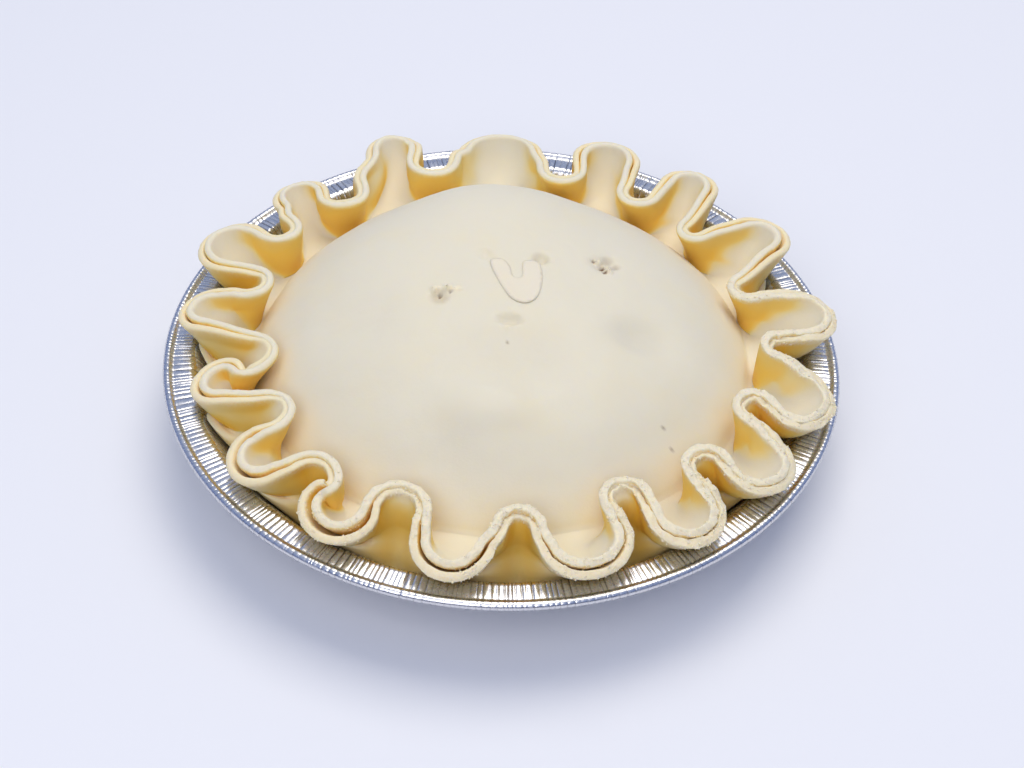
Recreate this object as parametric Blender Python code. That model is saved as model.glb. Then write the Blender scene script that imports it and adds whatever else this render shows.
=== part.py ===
"""An unbaked savoury pie in its aluminium foil tin.

Metres, +Z up. The origin is the centre of the tin's underside, and +Y is the side away from the
front. The pie is uncut, so its filling shows nowhere and the bottom crust is modelled as one solid
with it. The two crusts stand up together round the rim as a ruffle of seventeen folds, the lid on
the side of the dome and the bottom crust outside it, and a small dough heart lies on the lid.
"""

import math

import bmesh
import bpy
import numpy as np

MM = 0.001

# Foil tin
RIM_RADIUS = 111 * MM
TIN_HEIGHT = 30 * MM
BEAD_RADIUS = 1.5 * MM
WALL_TOP_RADIUS = 101 * MM
WALL_FOOT_RADIUS = 86 * MM
FLOOR_RADIUS = 81 * MM
FLOOR_CORNER = 4 * MM
FLANGE_DROP = 1.0 * MM
FOIL = 0.6 * MM
TIN_SEGMENTS = 72
BEAD_SEGMENTS = 7

# Dough, and the gap that pieces lying on each other keep
LID_THICKNESS = 2.7 * MM
BASE_THICKNESS = 2.6 * MM
CLEARANCE = 0.3 * MM
FLANGE_CLEARANCE = 1.3 * MM

# Middle of the lid's dough, heights over the rim of the tin
DOME_RADIUS = 80.5 * MM
DOME_TOP = 25 * MM
DOME_FOOT = -5 * MM
DOME_FLATNESS = 2.4
DOME_STEEPNESS = 0.75
VALLEY_RADIUS = 85.5 * MM
VALLEY_HEIGHT = -6.8 * MM

# Lumps of the filling under the lid: angle in degrees, distance from the middle, spread, rise, mm
LUMPS = (
    (98, 56, 32, 9.0),
    (150, 50, 26, 2.5),
    (267, 58, 15, 1.6),
    (258, 68, 10, -1.4),
    (215, 40, 22, 1.0),
    (310, 50, 22, 1.0),
    (338, 49, 12, -1.5),
)

# Ruffle: each row is one inner bend and the outer bend after it, counter-clockwise.
# Inner bend: angle, radius of the side that faces the dome, height over the rim.
# Outer bend: angle, radius of the lid's outer edge, height over the rim, and how far the bottom
# crust stands off the lid there. Degrees and mm.
FOLDS = (
    (12, 77, 11, 29, 105, 10, 1.0),
    (36, 75, 11, 49, 106, 12, 1.0),
    (57, 77, 11, 70, 105, 10, 1.0),
    (77, 75, 11, 92, 105, 9, 0.5),
    (108, 80, 11, 115, 107, 10, 0.5),
    (133, 78, 11, 139, 105, 8, 0.5),
    (153, 82, 11, 160, 107, 11, 0.5),
    (171, 82, 11, 179, 104, 8, 0.5),
    (195, 76, 11, 201, 102, 7, 0.5),
    (215, 78, 11, 221, 103, 7, 0.5),
    (233, 82, 11, 241, 102, 7, 1.0),
    (250, 79, 11, 262, 104, 7, 1.0),
    (274, 82, 11, 285, 104, 7, 1.0),
    (295, 78, 11, 305, 106, 7, 1.0),
    (315, 80, 11, 324, 107, 7, 0.5),
    (335, 80, 11, 342, 107, 8, 0.5),
    (354, 83, 11, 365, 107, 10, 0.5),
)
STEPS_PER_BEND = 5
FOOT_WAVE = 0.1
FOOT_LEAN = 0.7
FOOT_ROUNDNESS = 0.5
INNER_ROUNDNESS = 1.4
OUTER_ROUNDNESS = 1.2

# Where the bottom crust leaves the wall of the tin, at an inner bend and at an outer bend, and
# where it passes over the flange at an outer bend
CONTACT_HEIGHTS = (-7 * MM, -5 * MM)
SHOULDER_RADII = (94 * MM, 99.7 * MM)
SHOULDER_HEIGHTS = (-3.5 * MM, -1.9 * MM)
LIP_RADIUS = 102.2 * MM
LIP_HEIGHT = 0.35 * MM

# Dough heart: where it lies, and the points that its cut outline curves through, mm across and back
HEART_THICKNESS = 1.2 * MM
HEART_CENTRE = (3.5 * MM, 0.5 * MM)
HEART_OUTLINE = (
    (-8.5, 8.0), (-6.8, 2.6), (-4.2, -3.3), (-1.3, -8.1), (2.0, -9.9), (4.8, -9.4),
    (7.3, -6.3), (8.6, 0.8), (8.1, 7.4), (6.3, 10.0), (3.6, 10.0), (2.0, 8.4),
    (1.9, 2.6), (0.5, 1.5), (-1.0, 2.4), (-2.1, 6.8), (-4.6, 9.9), (-7.5, 9.9),
)
HEART_STEPS = 2

# Rings of the mesh: shares of the dome's radius with the points kept of each ring, and levels of
# the ruffle from its foot to its edge. Sides that show have more of them than hidden ones.
SHOWN_DOME = ((0.2, 5), (0.38, 5), (0.54, 5), (0.68, 5), (0.8, 1), (0.9, 1), (0.96, 1), (1.0, 1))
SHOWN_LEVELS = (0.0, 0.25, 0.5, 0.75, 1.0)
HIDDEN_DOME = ((0.38, 5), (0.68, 5), (0.9, 1), (1.0, 1))
HIDDEN_LEVELS = (0.0, 0.6, 0.8, 1.0)


def lerp(start, end, share):
    """Value at a share of the way between two."""
    return start + (end - start) * share


def smooth(share):
    """Share of the way, 0 to 1, eased at both ends."""
    share = min(max(share, 0.0), 1.0)
    return share * share * (3 - 2 * share)


def hermite(start, end, leave, arrive, share):
    """Point at a share of the way along a cubic with the given ends and end tangents."""
    back = 1 - share
    return (
        start * (1 + 2 * share) * back * back
        + end * (1 + 2 * back) * share * share
        + leave * share * back * back
        - arrive * share * share * back
    )


def around(angle, radius, height):
    """Point at an angle in radians, a radius and a height over the rim of the tin."""
    return np.array((radius * math.cos(angle), radius * math.sin(angle), TIN_HEIGHT + height))


def wall_radius(height):
    """Radius of the inside of the tin's wall at a height over the rim."""
    share = (height + TIN_HEIGHT - FLOOR_CORNER) / (TIN_HEIGHT - FLOOR_CORNER - FLANGE_DROP)
    return lerp(WALL_FOOT_RADIUS, WALL_TOP_RADIUS, share)


def dome_height(x, y):
    """Height over the rim of the middle of the lid's dough at a point of the dome."""
    reach = min(math.hypot(x, y) / DOME_RADIUS, 1.0)
    height = lerp(DOME_FOOT, DOME_TOP, (1 - reach ** DOME_FLATNESS) ** DOME_STEEPNESS)
    for angle, distance, spread, rise in LUMPS:
        centre = around(math.radians(angle), distance * MM, 0)
        away = math.hypot(x - centre[0], y - centre[1]) / (spread * MM)
        height += (1 - reach ** 4) * rise * MM * math.exp(-away * away)
    return height


def bends(level):
    """Angle, radius and height of the lid's bends at a level, 0 at the foot and 1 at the edge."""
    rows = []
    for index, (in_angle, in_radius, in_height, out_angle, out_radius, out_height, _) in enumerate(FOLDS):
        next_angle = FOLDS[index + 1][0] if index + 1 < len(FOLDS) else FOLDS[0][0] + 360
        middle = (in_angle + next_angle) / 2
        foot_wave = FOOT_WAVE * (out_radius - in_radius) / 2 * MM
        in_top = in_radius * MM + LID_THICKNESS / 2
        out_top = out_radius * MM - LID_THICKNESS / 2
        rows.append((
            math.radians(in_angle),
            lerp(VALLEY_RADIUS - foot_wave, in_top, level ** 1.6),
            lerp(VALLEY_HEIGHT, in_height * MM, level),
        ))
        rows.append((
            math.radians(lerp(middle, out_angle, lerp(FOOT_LEAN, 1, level))),
            lerp(VALLEY_RADIUS + foot_wave, out_top, level ** 0.85),
            lerp(VALLEY_HEIGHT, out_height * MM, level ** 1.15),
        ))
    return rows


def bend_tangents(rows, level):
    """Tangent at each bend: across the fold's own middle line, which leans where the fold does.

    Its length grows with the room that the bends on both sides leave, so that wide folds are round.
    """
    tangents = []
    for index, (angle, radius, _) in enumerate(rows):
        before_angle, before_radius, _ = rows[index - 1]
        after_angle, after_radius, _ = rows[(index + 1) % len(rows)]
        sideways = math.remainder(before_angle + after_angle - 2 * angle, 2 * math.pi) / 2 * radius
        inward = radius - (before_radius + after_radius) / 2
        lean = math.atan2(sideways, abs(inward)) * min(1, abs(inward) / (10 * MM))
        turn = angle - lean if inward > 0 else angle + lean
        room = math.remainder(after_angle - before_angle, 2 * math.pi) * radius
        roundness = OUTER_ROUNDNESS if inward > 0 else INNER_ROUNDNESS
        reach = room * lerp(FOOT_ROUNDNESS, roundness, level) * math.cos(lean)
        tangents.append(reach * np.array((-math.sin(turn), math.cos(turn), 0)))
    return tangents


def ruffle_ring(level):
    """Closed curve through the bends of one level, as an array of points."""
    rows = bends(level)
    tangents = bend_tangents(rows, level)
    points = []
    for index, row in enumerate(rows):
        following = (index + 1) % len(rows)
        start = around(*row)
        end = around(*rows[following])
        for step in range(STEPS_PER_BEND):
            share = step / STEPS_PER_BEND
            points.append(hermite(start, end, tangents[index], tangents[following], share))
    return np.array(points)


def outer_share():
    """For each point of a ring, 0 at an inner bend to 1 at an outer bend."""
    steps = np.arange(2 * STEPS_PER_BEND) / STEPS_PER_BEND
    one_fold = [smooth(1 - abs(step - 1)) for step in steps]
    return np.tile(one_fold, len(FOLDS))


def stand_off():
    """How far the bottom crust stands off the lid's edge at every point of a ring."""
    return np.repeat([row[6] * MM for row in FOLDS], 2 * STEPS_PER_BEND) * outer_share()


def dome_ring(share, angles):
    """Ring of the dome at a share of its radius, at the angles of the ruffle's foot."""
    points = []
    for angle in angles:
        x = share * DOME_RADIUS * math.cos(angle)
        y = share * DOME_RADIUS * math.sin(angle)
        points.append((x, y, TIN_HEIGHT + dome_height(x, y)))
    return np.array(points)


def sheet(dome, levels):
    """Middle of the lid's dough, ring by ring from the dome to the edge of the ruffle."""
    foot = ruffle_ring(0.0)
    angles = np.arctan2(foot[:, 1], foot[:, 0])
    rings = [dome_ring(share, angles) for share, _ in dome]
    rings += [ruffle_ring(level) for level in levels]
    return np.array(rings)


def offsets(rings):
    """Directions up from a grid of rings, lengthened at creases so that a thickness is kept."""
    following = np.roll(rings, -1, axis=1)
    faces = np.cross(following[1:] - rings[:-1], following[:-1] - rings[1:])
    faces /= np.linalg.norm(faces, axis=2, keepdims=True)
    faces += np.roll(faces, 1, axis=1)
    total = np.zeros_like(rings)
    total[:-1] += faces
    total[1:] += faces
    count = np.full((len(rings), 1, 1), 4.0)
    count[0] = count[-1] = 2.0
    mean = total / count
    size = np.linalg.norm(mean, axis=2, keepdims=True)
    return mean / size / np.maximum(size, 0.75)


def crest(rings, thickness):
    """Rounded edge of a sheet: the ring just past its last one."""
    onward = rings[-1] - rings[-2]
    return rings[-1] + onward / np.linalg.norm(onward, axis=1, keepdims=True) * thickness * 0.45


def keep_off_tin(ring):
    """Ring moved, each point the shorter way, clear of the tin's wall and flange."""
    moved = ring.copy()
    lowest = FLANGE_CLEARANCE - FLANGE_DROP
    for point in moved:
        height = point[2] - TIN_HEIGHT
        radius = math.hypot(point[0], point[1])
        near_flange = smooth((height + 7 * MM) / (6 * MM))
        widest = wall_radius(height) - lerp(CLEARANCE, FLANGE_CLEARANCE, near_flange)
        if height >= lowest or radius <= widest:
            continue
        if radius - widest < lowest - height:
            point[:2] *= widest / radius
        else:
            point[2] = TIN_HEIGHT + lowest
    return moved


def skin(mesh, rings, facing_up):
    """Adds faces from a middle point out through rings of vertices, and may end on shared ones."""
    def face(*corners):
        mesh.faces.new(corners if facing_up else corners[::-1])

    for inner, outer in zip(rings, rings[1:]):
        if len(inner) == 1:
            for index, vertex in enumerate(outer):
                face(inner[0], vertex, outer[(index + 1) % len(outer)])
            continue
        coarse, fine = (inner, outer) if len(inner) < len(outer) else (outer, inner)
        ratio = len(fine) // len(coarse)
        for index, vertex in enumerate(coarse):
            following = coarse[(index + 1) % len(coarse)]
            fan = [fine[(index * ratio + step) % len(fine)] for step in range(ratio + 1)]
            for one, other in zip(fan, fan[1:]):
                if coarse is inner:
                    face(vertex, one, other)
                else:
                    face(vertex, other, one)
            if coarse is inner:
                face(vertex, fan[-1], following)
            else:
                face(vertex, following, fan[-1])


def vertices(mesh, rings):
    """New vertices at the points of each ring."""
    return [[mesh.verts.new(tuple(point)) for point in ring] for ring in rings]


def kept(rings, dome):
    """Rings with the dome's ones thinned as its table says."""
    keeps = [keep for _, keep in dome] + [1] * (len(rings) - len(dome))
    return [ring[::keep] for ring, keep in zip(rings, keeps)]


def finish(name, mesh, colour, roughness, metallic=0.0):
    """Object with the given name and its own material, from a bmesh."""
    data = bpy.data.meshes.new(name)
    mesh.to_mesh(data)
    mesh.free()
    data.shade_smooth()
    data.set_sharp_from_angle(angle=math.radians(50))
    material = bpy.data.materials.new(name)
    material.use_nodes = True
    shader = material.node_tree.nodes["Principled BSDF"]
    shader.inputs["Base Color"].default_value = (*colour, 1)
    shader.inputs["Roughness"].default_value = roughness
    shader.inputs["Metallic"].default_value = metallic
    data.materials.append(material)
    made = bpy.data.objects.new(name, data)
    bpy.context.scene.collection.objects.link(made)


def build_lid():
    """Lid: the dome and the inner sheet of the ruffle, one thickness of dough throughout."""
    half = LID_THICKNESS / 2
    middle = sheet(SHOWN_DOME, SHOWN_LEVELS)
    hidden = sheet(HIDDEN_DOME, HIDDEN_LEVELS)
    centre = np.array((0, 0, TIN_HEIGHT + dome_height(0, 0)))
    lift = np.array((0, 0, half))
    top = [[centre + lift]] + kept(middle + offsets(middle) * half, SHOWN_DOME)
    under = [[centre - lift]] + kept(hidden - offsets(hidden) * half, HIDDEN_DOME)
    mesh = bmesh.new()
    edge = vertices(mesh, [crest(middle, LID_THICKNESS)])
    skin(mesh, vertices(mesh, top) + edge, facing_up=True)
    skin(mesh, vertices(mesh, under) + edge, facing_up=False)
    finish("lid_crust", mesh, (0.86, 0.76, 0.58), 0.6)


def liner_rings(angles):
    """Rings of the bottom crust from the tin's floor up to where it leaves the wall."""
    floor = FOIL + CLEARANCE - TIN_HEIGHT
    coarse = angles[::2 * STEPS_PER_BEND]
    rings = [[around(0, 0, floor)]]
    rings.append([around(angle, FLOOR_RADIUS, floor) for angle in coarse])
    for height in (FLOOR_CORNER - TIN_HEIGHT, -16 * MM):
        rings.append([around(angle, wall_radius(height) - CLEARANCE, height) for angle in coarse])
    for radii, heights in (
        ([wall_radius(height) - CLEARANCE for height in CONTACT_HEIGHTS], CONTACT_HEIGHTS),
        (SHOULDER_RADII, SHOULDER_HEIGHTS),
    ):
        rings.append([
            around(angle, lerp(*radii, share), lerp(*heights, share))
            for angle, share in zip(angles, outer_share())
        ])
    return rings


def lip_ring(ring, angles):
    """Ring of the bottom crust's outer side, drawn over the tin's flange at the outer bends."""
    over = np.array([around(angle, LIP_RADIUS, LIP_HEIGHT) for angle in angles])
    return lerp(ring, over, outer_share()[:, None])


def build_base():
    """Bottom crust with what it holds: the outer sheet of the ruffle and a solid down to the tin."""
    gap = LID_THICKNESS / 2 + CLEARANCE
    slack = stand_off()[:, None]
    hidden = sheet(HIDDEN_DOME, HIDDEN_LEVELS)
    away = offsets(hidden)
    rises = np.array([0.0] * len(HIDDEN_DOME) + list(HIDDEN_LEVELS))[:, None, None]
    inside = hidden - away * (gap + slack * rises ** 1.5)
    outside = inside - away * BASE_THICKNESS
    outer_edge = keep_off_tin(outside[-1])
    centre = np.array((0, 0, TIN_HEIGHT + dome_height(0, 0) - gap))
    foot = len(HIDDEN_DOME)
    angles = np.arctan2(hidden[foot][:, 1], hidden[foot][:, 0])
    mesh = bmesh.new()
    liner = liner_rings(angles)
    sides = [lip_ring(outside[-3], angles), keep_off_tin(outside[-2]), outer_edge]
    middle = np.array((inside[-2], (inside[-1] + outer_edge) / 2))
    edge = vertices(mesh, [crest(middle, BASE_THICKNESS)])
    skin(mesh, vertices(mesh, [[centre]] + kept(inside, HIDDEN_DOME)) + edge, facing_up=True)
    skin(mesh, vertices(mesh, liner + sides) + edge, facing_up=False)
    finish("base_crust", mesh, (0.86, 0.74, 0.54), 0.65)


def tin_profile():
    """Outline of the tin from the middle of its floor out to the bead and back underneath."""
    flange = TIN_HEIGHT - FLANGE_DROP
    bead_radius = RIM_RADIUS - BEAD_RADIUS
    bead_height = TIN_HEIGHT - BEAD_RADIUS
    bend = lerp(FLOOR_RADIUS, WALL_FOOT_RADIUS, 0.6)
    outline = [
        (0, FOIL),
        (FLOOR_RADIUS - FOIL, FOIL),
        (bend - FOIL, FOIL + 0.3 * FLOOR_CORNER),
        (WALL_FOOT_RADIUS, FLOOR_CORNER),
        (WALL_TOP_RADIUS, flange),
    ]
    for step in range(BEAD_SEGMENTS + 1):
        turn = math.radians(170 - step * 320 / BEAD_SEGMENTS)
        outline.append((
            bead_radius + BEAD_RADIUS * math.cos(turn),
            bead_height + BEAD_RADIUS * math.sin(turn),
        ))
    outline += [
        (WALL_TOP_RADIUS + FOIL / 2, flange - FOIL),
        (WALL_FOOT_RADIUS + FOIL, FLOOR_CORNER - FOIL / 2),
        (bend, 0.3 * FLOOR_CORNER),
        (FLOOR_RADIUS, 0),
        (0, 0),
    ]
    return outline


def build_tin():
    """Foil tin: floor, sloping wall, flange and rolled bead, spun round the middle."""
    mesh = bmesh.new()
    corners = [mesh.verts.new((radius, 0, height)) for radius, height in tin_profile()]
    edges = [mesh.edges.new(pair) for pair in zip(corners, corners[1:])]
    bmesh.ops.spin(
        mesh, geom=corners + edges, cent=(0, 0, 0), axis=(0, 0, 1), angle=2 * math.pi,
        steps=TIN_SEGMENTS, use_duplicate=False, use_merge=True,
    )
    bmesh.ops.remove_doubles(mesh, verts=mesh.verts, dist=0.01 * MM)
    bmesh.ops.recalc_face_normals(mesh, faces=mesh.faces)
    finish("foil_tin", mesh, (0.62, 0.63, 0.66), 0.3, metallic=1.0)


def heart_outline():
    """Closed curve through the points of the heart's outline, from its middle, in metres."""
    corners = np.array(HEART_OUTLINE) * MM
    slopes = (np.roll(corners, -1, axis=0) - np.roll(corners, 1, axis=0)) / 2
    points = []
    for index, corner in enumerate(corners):
        following = (index + 1) % len(corners)
        for step in range(HEART_STEPS):
            share = step / HEART_STEPS
            points.append(hermite(corner, corners[following], slopes[index], slopes[following], share))
    return points


def build_heart():
    """Small heart cut from thin dough, lying on the lid and following its curve."""
    mesh = bmesh.new()
    rows = []
    outline = heart_outline()
    lid_top = TIN_HEIGHT + LID_THICKNESS / 2 + CLEARANCE
    for share, lift in ((1.0, 0.0), (1.0, 0.7), (0.94, 1.0)):
        row = []
        for across, up in outline:
            x = HEART_CENTRE[0] + share * across
            y = HEART_CENTRE[1] + share * up
            z = lid_top + dome_height(x, y) + lift * HEART_THICKNESS
            row.append(mesh.verts.new((x, y, z)))
        rows.append(row)
    for low, high in zip(rows, rows[1:]):
        for index, vertex in enumerate(low):
            following = (index + 1) % len(low)
            mesh.faces.new((vertex, low[following], high[following], high[index]))
    mesh.faces.new(rows[0])
    mesh.faces.new(rows[-1])
    bmesh.ops.triangulate(mesh, faces=[face for face in mesh.faces if len(face.verts) > 4])
    bmesh.ops.recalc_face_normals(mesh, faces=mesh.faces)
    finish("dough_heart", mesh, (0.9, 0.82, 0.66), 0.6)


def main():
    """Clears the scene and builds the pie."""
    for old in list(bpy.data.objects):
        bpy.data.objects.remove(old, do_unlink=True)
    build_tin()
    build_base()
    build_lid()
    build_heart()


main()
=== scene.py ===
"""Looks of an unbaked savoury pie in its foil tin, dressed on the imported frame.

Object space is metres with +Z up, and the origin is the centre of the tin's underside. Sizes in
the classes are millimetres, heights are over the rim of the tin, and angles are degrees
counter-clockwise from +X, with +Y to the rear.
"""

import logging
import math
from dataclasses import dataclass, field
from enum import Enum
from typing import Any

import bpy
import numpy as np
from mathutils import Matrix, Vector, geometry, noise
from mathutils.bvhtree import BVHTree


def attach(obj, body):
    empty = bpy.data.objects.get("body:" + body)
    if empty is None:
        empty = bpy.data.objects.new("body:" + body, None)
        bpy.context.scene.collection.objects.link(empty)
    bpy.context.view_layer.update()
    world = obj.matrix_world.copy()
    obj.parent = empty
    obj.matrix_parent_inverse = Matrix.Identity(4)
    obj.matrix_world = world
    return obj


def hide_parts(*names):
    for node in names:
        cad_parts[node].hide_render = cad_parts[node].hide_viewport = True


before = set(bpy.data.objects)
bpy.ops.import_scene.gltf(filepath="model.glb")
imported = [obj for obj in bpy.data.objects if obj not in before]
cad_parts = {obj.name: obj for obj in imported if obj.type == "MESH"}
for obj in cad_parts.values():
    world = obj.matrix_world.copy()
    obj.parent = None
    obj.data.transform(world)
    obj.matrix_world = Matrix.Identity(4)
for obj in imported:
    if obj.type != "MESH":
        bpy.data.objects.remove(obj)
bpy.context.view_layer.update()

MM = 0.001
TIN_HEIGHT = 30.0
RIM_RADIUS = 111.0
MATH = "ShaderNodeMath"

log = logging.getLogger("pie")


def lerp(start: Any, end: Any, share: Any) -> Any:
    """Value at a share of the way between two."""
    return start + (end - start) * share


def smooth(share: Any) -> Any:
    """Share of the way, 0 to 1, eased at both ends."""
    share = np.clip(share, 0.0, 1.0)
    return share * share * (3 - 2 * share)


def unit(vectors: np.ndarray) -> np.ndarray:
    """Vectors of length one along the last axis."""
    return vectors / np.maximum(np.linalg.norm(vectors, axis=-1, keepdims=True), 1e-9)


def rough(points: np.ndarray, grain: float, octaves: int, seed: float) -> np.ndarray:
    """Fractal noise at points.

    Args:
        points: Points in mm, with x, y and z last.
        grain: Size of the largest bumps in mm.
        octaves: Number of finer layers.
        seed: Shift of the noise, one for each use.

    Returns:
        One value a point, about -1 to 1.
    """
    flat = points.reshape(-1, 3) / grain + seed
    values = [noise.fractal(Vector(point), 0.9, 2.1, octaves) for point in flat.tolist()]
    return np.array(values).reshape(points.shape[:-1])


def srgb(code: str) -> tuple[float, float, float, float]:
    """Linear colour of an sRGB hex code."""
    parts = [int(code[at:at + 2], 16) / 255 for at in (1, 3, 5)]
    red, green, blue = [c / 12.92 if c <= 0.04045 else ((c + 0.055) / 1.055) ** 2.4 for c in parts]
    return red, green, blue, 1.0


def add_node(
    tree: bpy.types.NodeTree,
    kind: str,
    inputs: dict[Any, Any] | None = None,
    stops: tuple[tuple[float, Any], ...] = (),
    **settings: Any,
) -> bpy.types.Node:
    """Adds a node to a tree.

    Args:
        tree: Tree that it goes into.
        kind: Type of node.
        inputs: Values for its inputs, or output sockets to link to them, by name or number.
        stops: Places of a colour ramp from 0 to 1, each with a linear colour or a grey level.
        **settings: Properties of the node.

    Returns:
        The node.
    """
    made = tree.nodes.new(kind)
    for name, value in settings.items():
        setattr(made, name, value)
    for key, item in (inputs or {}).items():
        if isinstance(item, bpy.types.NodeSocket):
            tree.links.new(item, made.inputs[key])
        else:
            made.inputs[key].default_value = item
    for number, (place, colour) in enumerate(stops):
        elements = made.color_ramp.elements
        element = elements[number] if number < len(elements) else elements.new(place)
        element.position = place
        element.color = colour if isinstance(colour, tuple) else (colour, colour, colour, 1)
    return made


def add_table(
    tree: bpy.types.NodeTree, known: dict[str, Any], rows: tuple[tuple[Any, ...], ...]
) -> None:
    """Adds the nodes of a table in order, and keeps the first output of each by its name.

    Args:
        tree: Tree that they go into.
        known: Output sockets by name.
        rows: For each node a name, its type, its operation if it has one, and its inputs in order,
            each a known name or a value.
    """
    for name, kind, operation, *items in rows:
        inputs = {slot: known.get(item, item) for slot, item in enumerate(items)}
        settings = {"operation": operation} if operation else {}
        known[name] = add_node(tree, kind, inputs, **settings).outputs[0]


def new_material(
    name: str, values: dict[str, Any]
) -> tuple[bpy.types.Material, bpy.types.NodeTree, bpy.types.Node]:
    """Material with its tree and its Principled shader, some of whose inputs have values."""
    made = bpy.data.materials.new(name)
    made.use_nodes = True
    shader = made.node_tree.nodes["Principled BSDF"]
    for key, value in values.items():
        shader.inputs[key].default_value = value
    return made, made.node_tree, shader


def roughen(
    tree: bpy.types.NodeTree, shader: bpy.types.Node, height: Any, relief: tuple[float, float],
    grain: Any, roughness: tuple[float, float],
) -> None:
    """Gives a shader a small relief and an uneven gloss.

    Args:
        tree: Tree of its material.
        shader: Principled shader.
        height: Output that says how high the surface is, 0 to 1.
        relief: Strength of the relief, and its height in mm.
        grain: Output that says how dull the surface is, 0 to 1.
        roughness: Roughness where it is least dull, and where it is dullest.
    """
    strength, high = relief
    bump = add_node(
        tree, "ShaderNodeBump", {"Height": height, "Strength": strength, "Distance": high * MM}
    )
    tree.links.new(bump.outputs["Normal"], shader.inputs["Normal"])
    dull = add_node(tree, "ShaderNodeValToRGB", {"Fac": grain}, tuple(zip((0.3, 0.7), roughness)))
    tree.links.new(dull.outputs["Color"], shader.inputs["Roughness"])


def new_group(
    name: str, wanted: dict[str, tuple[str, Any]]
) -> tuple[bpy.types.NodeTree, dict[str, Any], dict[str, Any]]:
    """Starts a Geometry Nodes tree.

    Args:
        name: Name of the tree.
        wanted: Socket type and value of each input, by name.

    Returns:
        The tree, its inputs' sockets by name, and its input values by socket identifier.
    """
    tree = bpy.data.node_groups.new(name, "GeometryNodeTree")
    for side in ("OUTPUT", "INPUT"):
        tree.interface.new_socket("Geometry", in_out=side, socket_type="NodeSocketGeometry")
    values = {}
    for label, (kind, value) in wanted.items():
        socket = tree.interface.new_socket(label, in_out="INPUT", socket_type=kind)
        values[socket.identifier] = value
    given = add_node(tree, "NodeGroupInput").outputs
    return tree, {label: given[label] for label in ("Geometry", *wanted)}, values


def end_group(tree: bpy.types.NodeTree, shape: Any, finish: Any) -> None:
    """Ends a Geometry Nodes tree: makes its shape real and gives it a material."""
    real = add_node(tree, "GeometryNodeRealizeInstances", {"Geometry": shape}).outputs[0]
    dressed = add_node(tree, "GeometryNodeSetMaterial", {"Geometry": real, "Material": finish})
    add_node(tree, "NodeGroupOutput", {0: dressed.outputs[0]})


def grow(made: bpy.types.Object, tree: bpy.types.NodeTree, values: dict[str, Any]) -> None:
    """Replaces an object's mesh by what a Geometry Nodes tree with these inputs makes of it."""
    modifier = made.modifiers.new(tree.name, "NODES")
    modifier.node_group = tree
    for identifier, value in values.items():
        modifier[identifier] = value
    graph = bpy.context.evaluated_depsgraph_get()
    grown = bpy.data.meshes.new_from_object(made.evaluated_get(graph))
    made.modifiers.clear()
    made.data = grown


def new_mesh(name: str, points: np.ndarray, faces: list[tuple[int, ...]]) -> bpy.types.Mesh:
    """Smooth mesh of points in mm."""
    data = bpy.data.meshes.new(name)
    data.from_pydata((points * MM).tolist(), [], faces)
    data.update()
    data.shade_smooth()
    return data


def keep(data: bpy.types.Mesh, name: str, values: Any) -> None:
    """Keeps a value at each point of a mesh."""
    kept = data.attributes.new(name, "FLOAT", "POINT")
    kept.data.foreach_set("value", np.asarray(values, np.float32))


def link(name: str, data: bpy.types.Mesh) -> bpy.types.Object:
    """Object with a mesh, in the scene."""
    made = bpy.data.objects.new(name, data)
    bpy.context.scene.collection.objects.link(made)
    return made


def hermite(start: Any, end: Any, leave: Any, arrive: Any, share: Any) -> Any:
    """Point at a share of the way along a smooth curve.

    Args:
        start: Where it starts.
        end: Where it ends.
        leave: Direction and speed at its start.
        arrive: Direction and speed at its end.
        share: 0 at its start to 1 at its end.

    Returns:
        The point.
    """
    back = 1 - share
    return (
        start * (1 + 2 * share) * back * back
        + end * (1 + 2 * back) * share * share
        + leave * share * back * back
        - arrive * share * share * back
    )


class Mark(Enum):
    """Values that a piece keeps at its points for its finish."""

    # Painted shade of folds: how deep in a fold a point lies, which the dough's colour turns golden.
    PAINTED_FOLD_SHADE = "hollow"
    CUT = "cut_edge"
    # Bran flecks, and painted shade in the lid's holes, vent craters and dents.
    BRAN_AND_PAINTED_SHADE = "speck"
    # Painted shade along the creases of the foil's pleats.
    CREASE = "crease"


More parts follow.
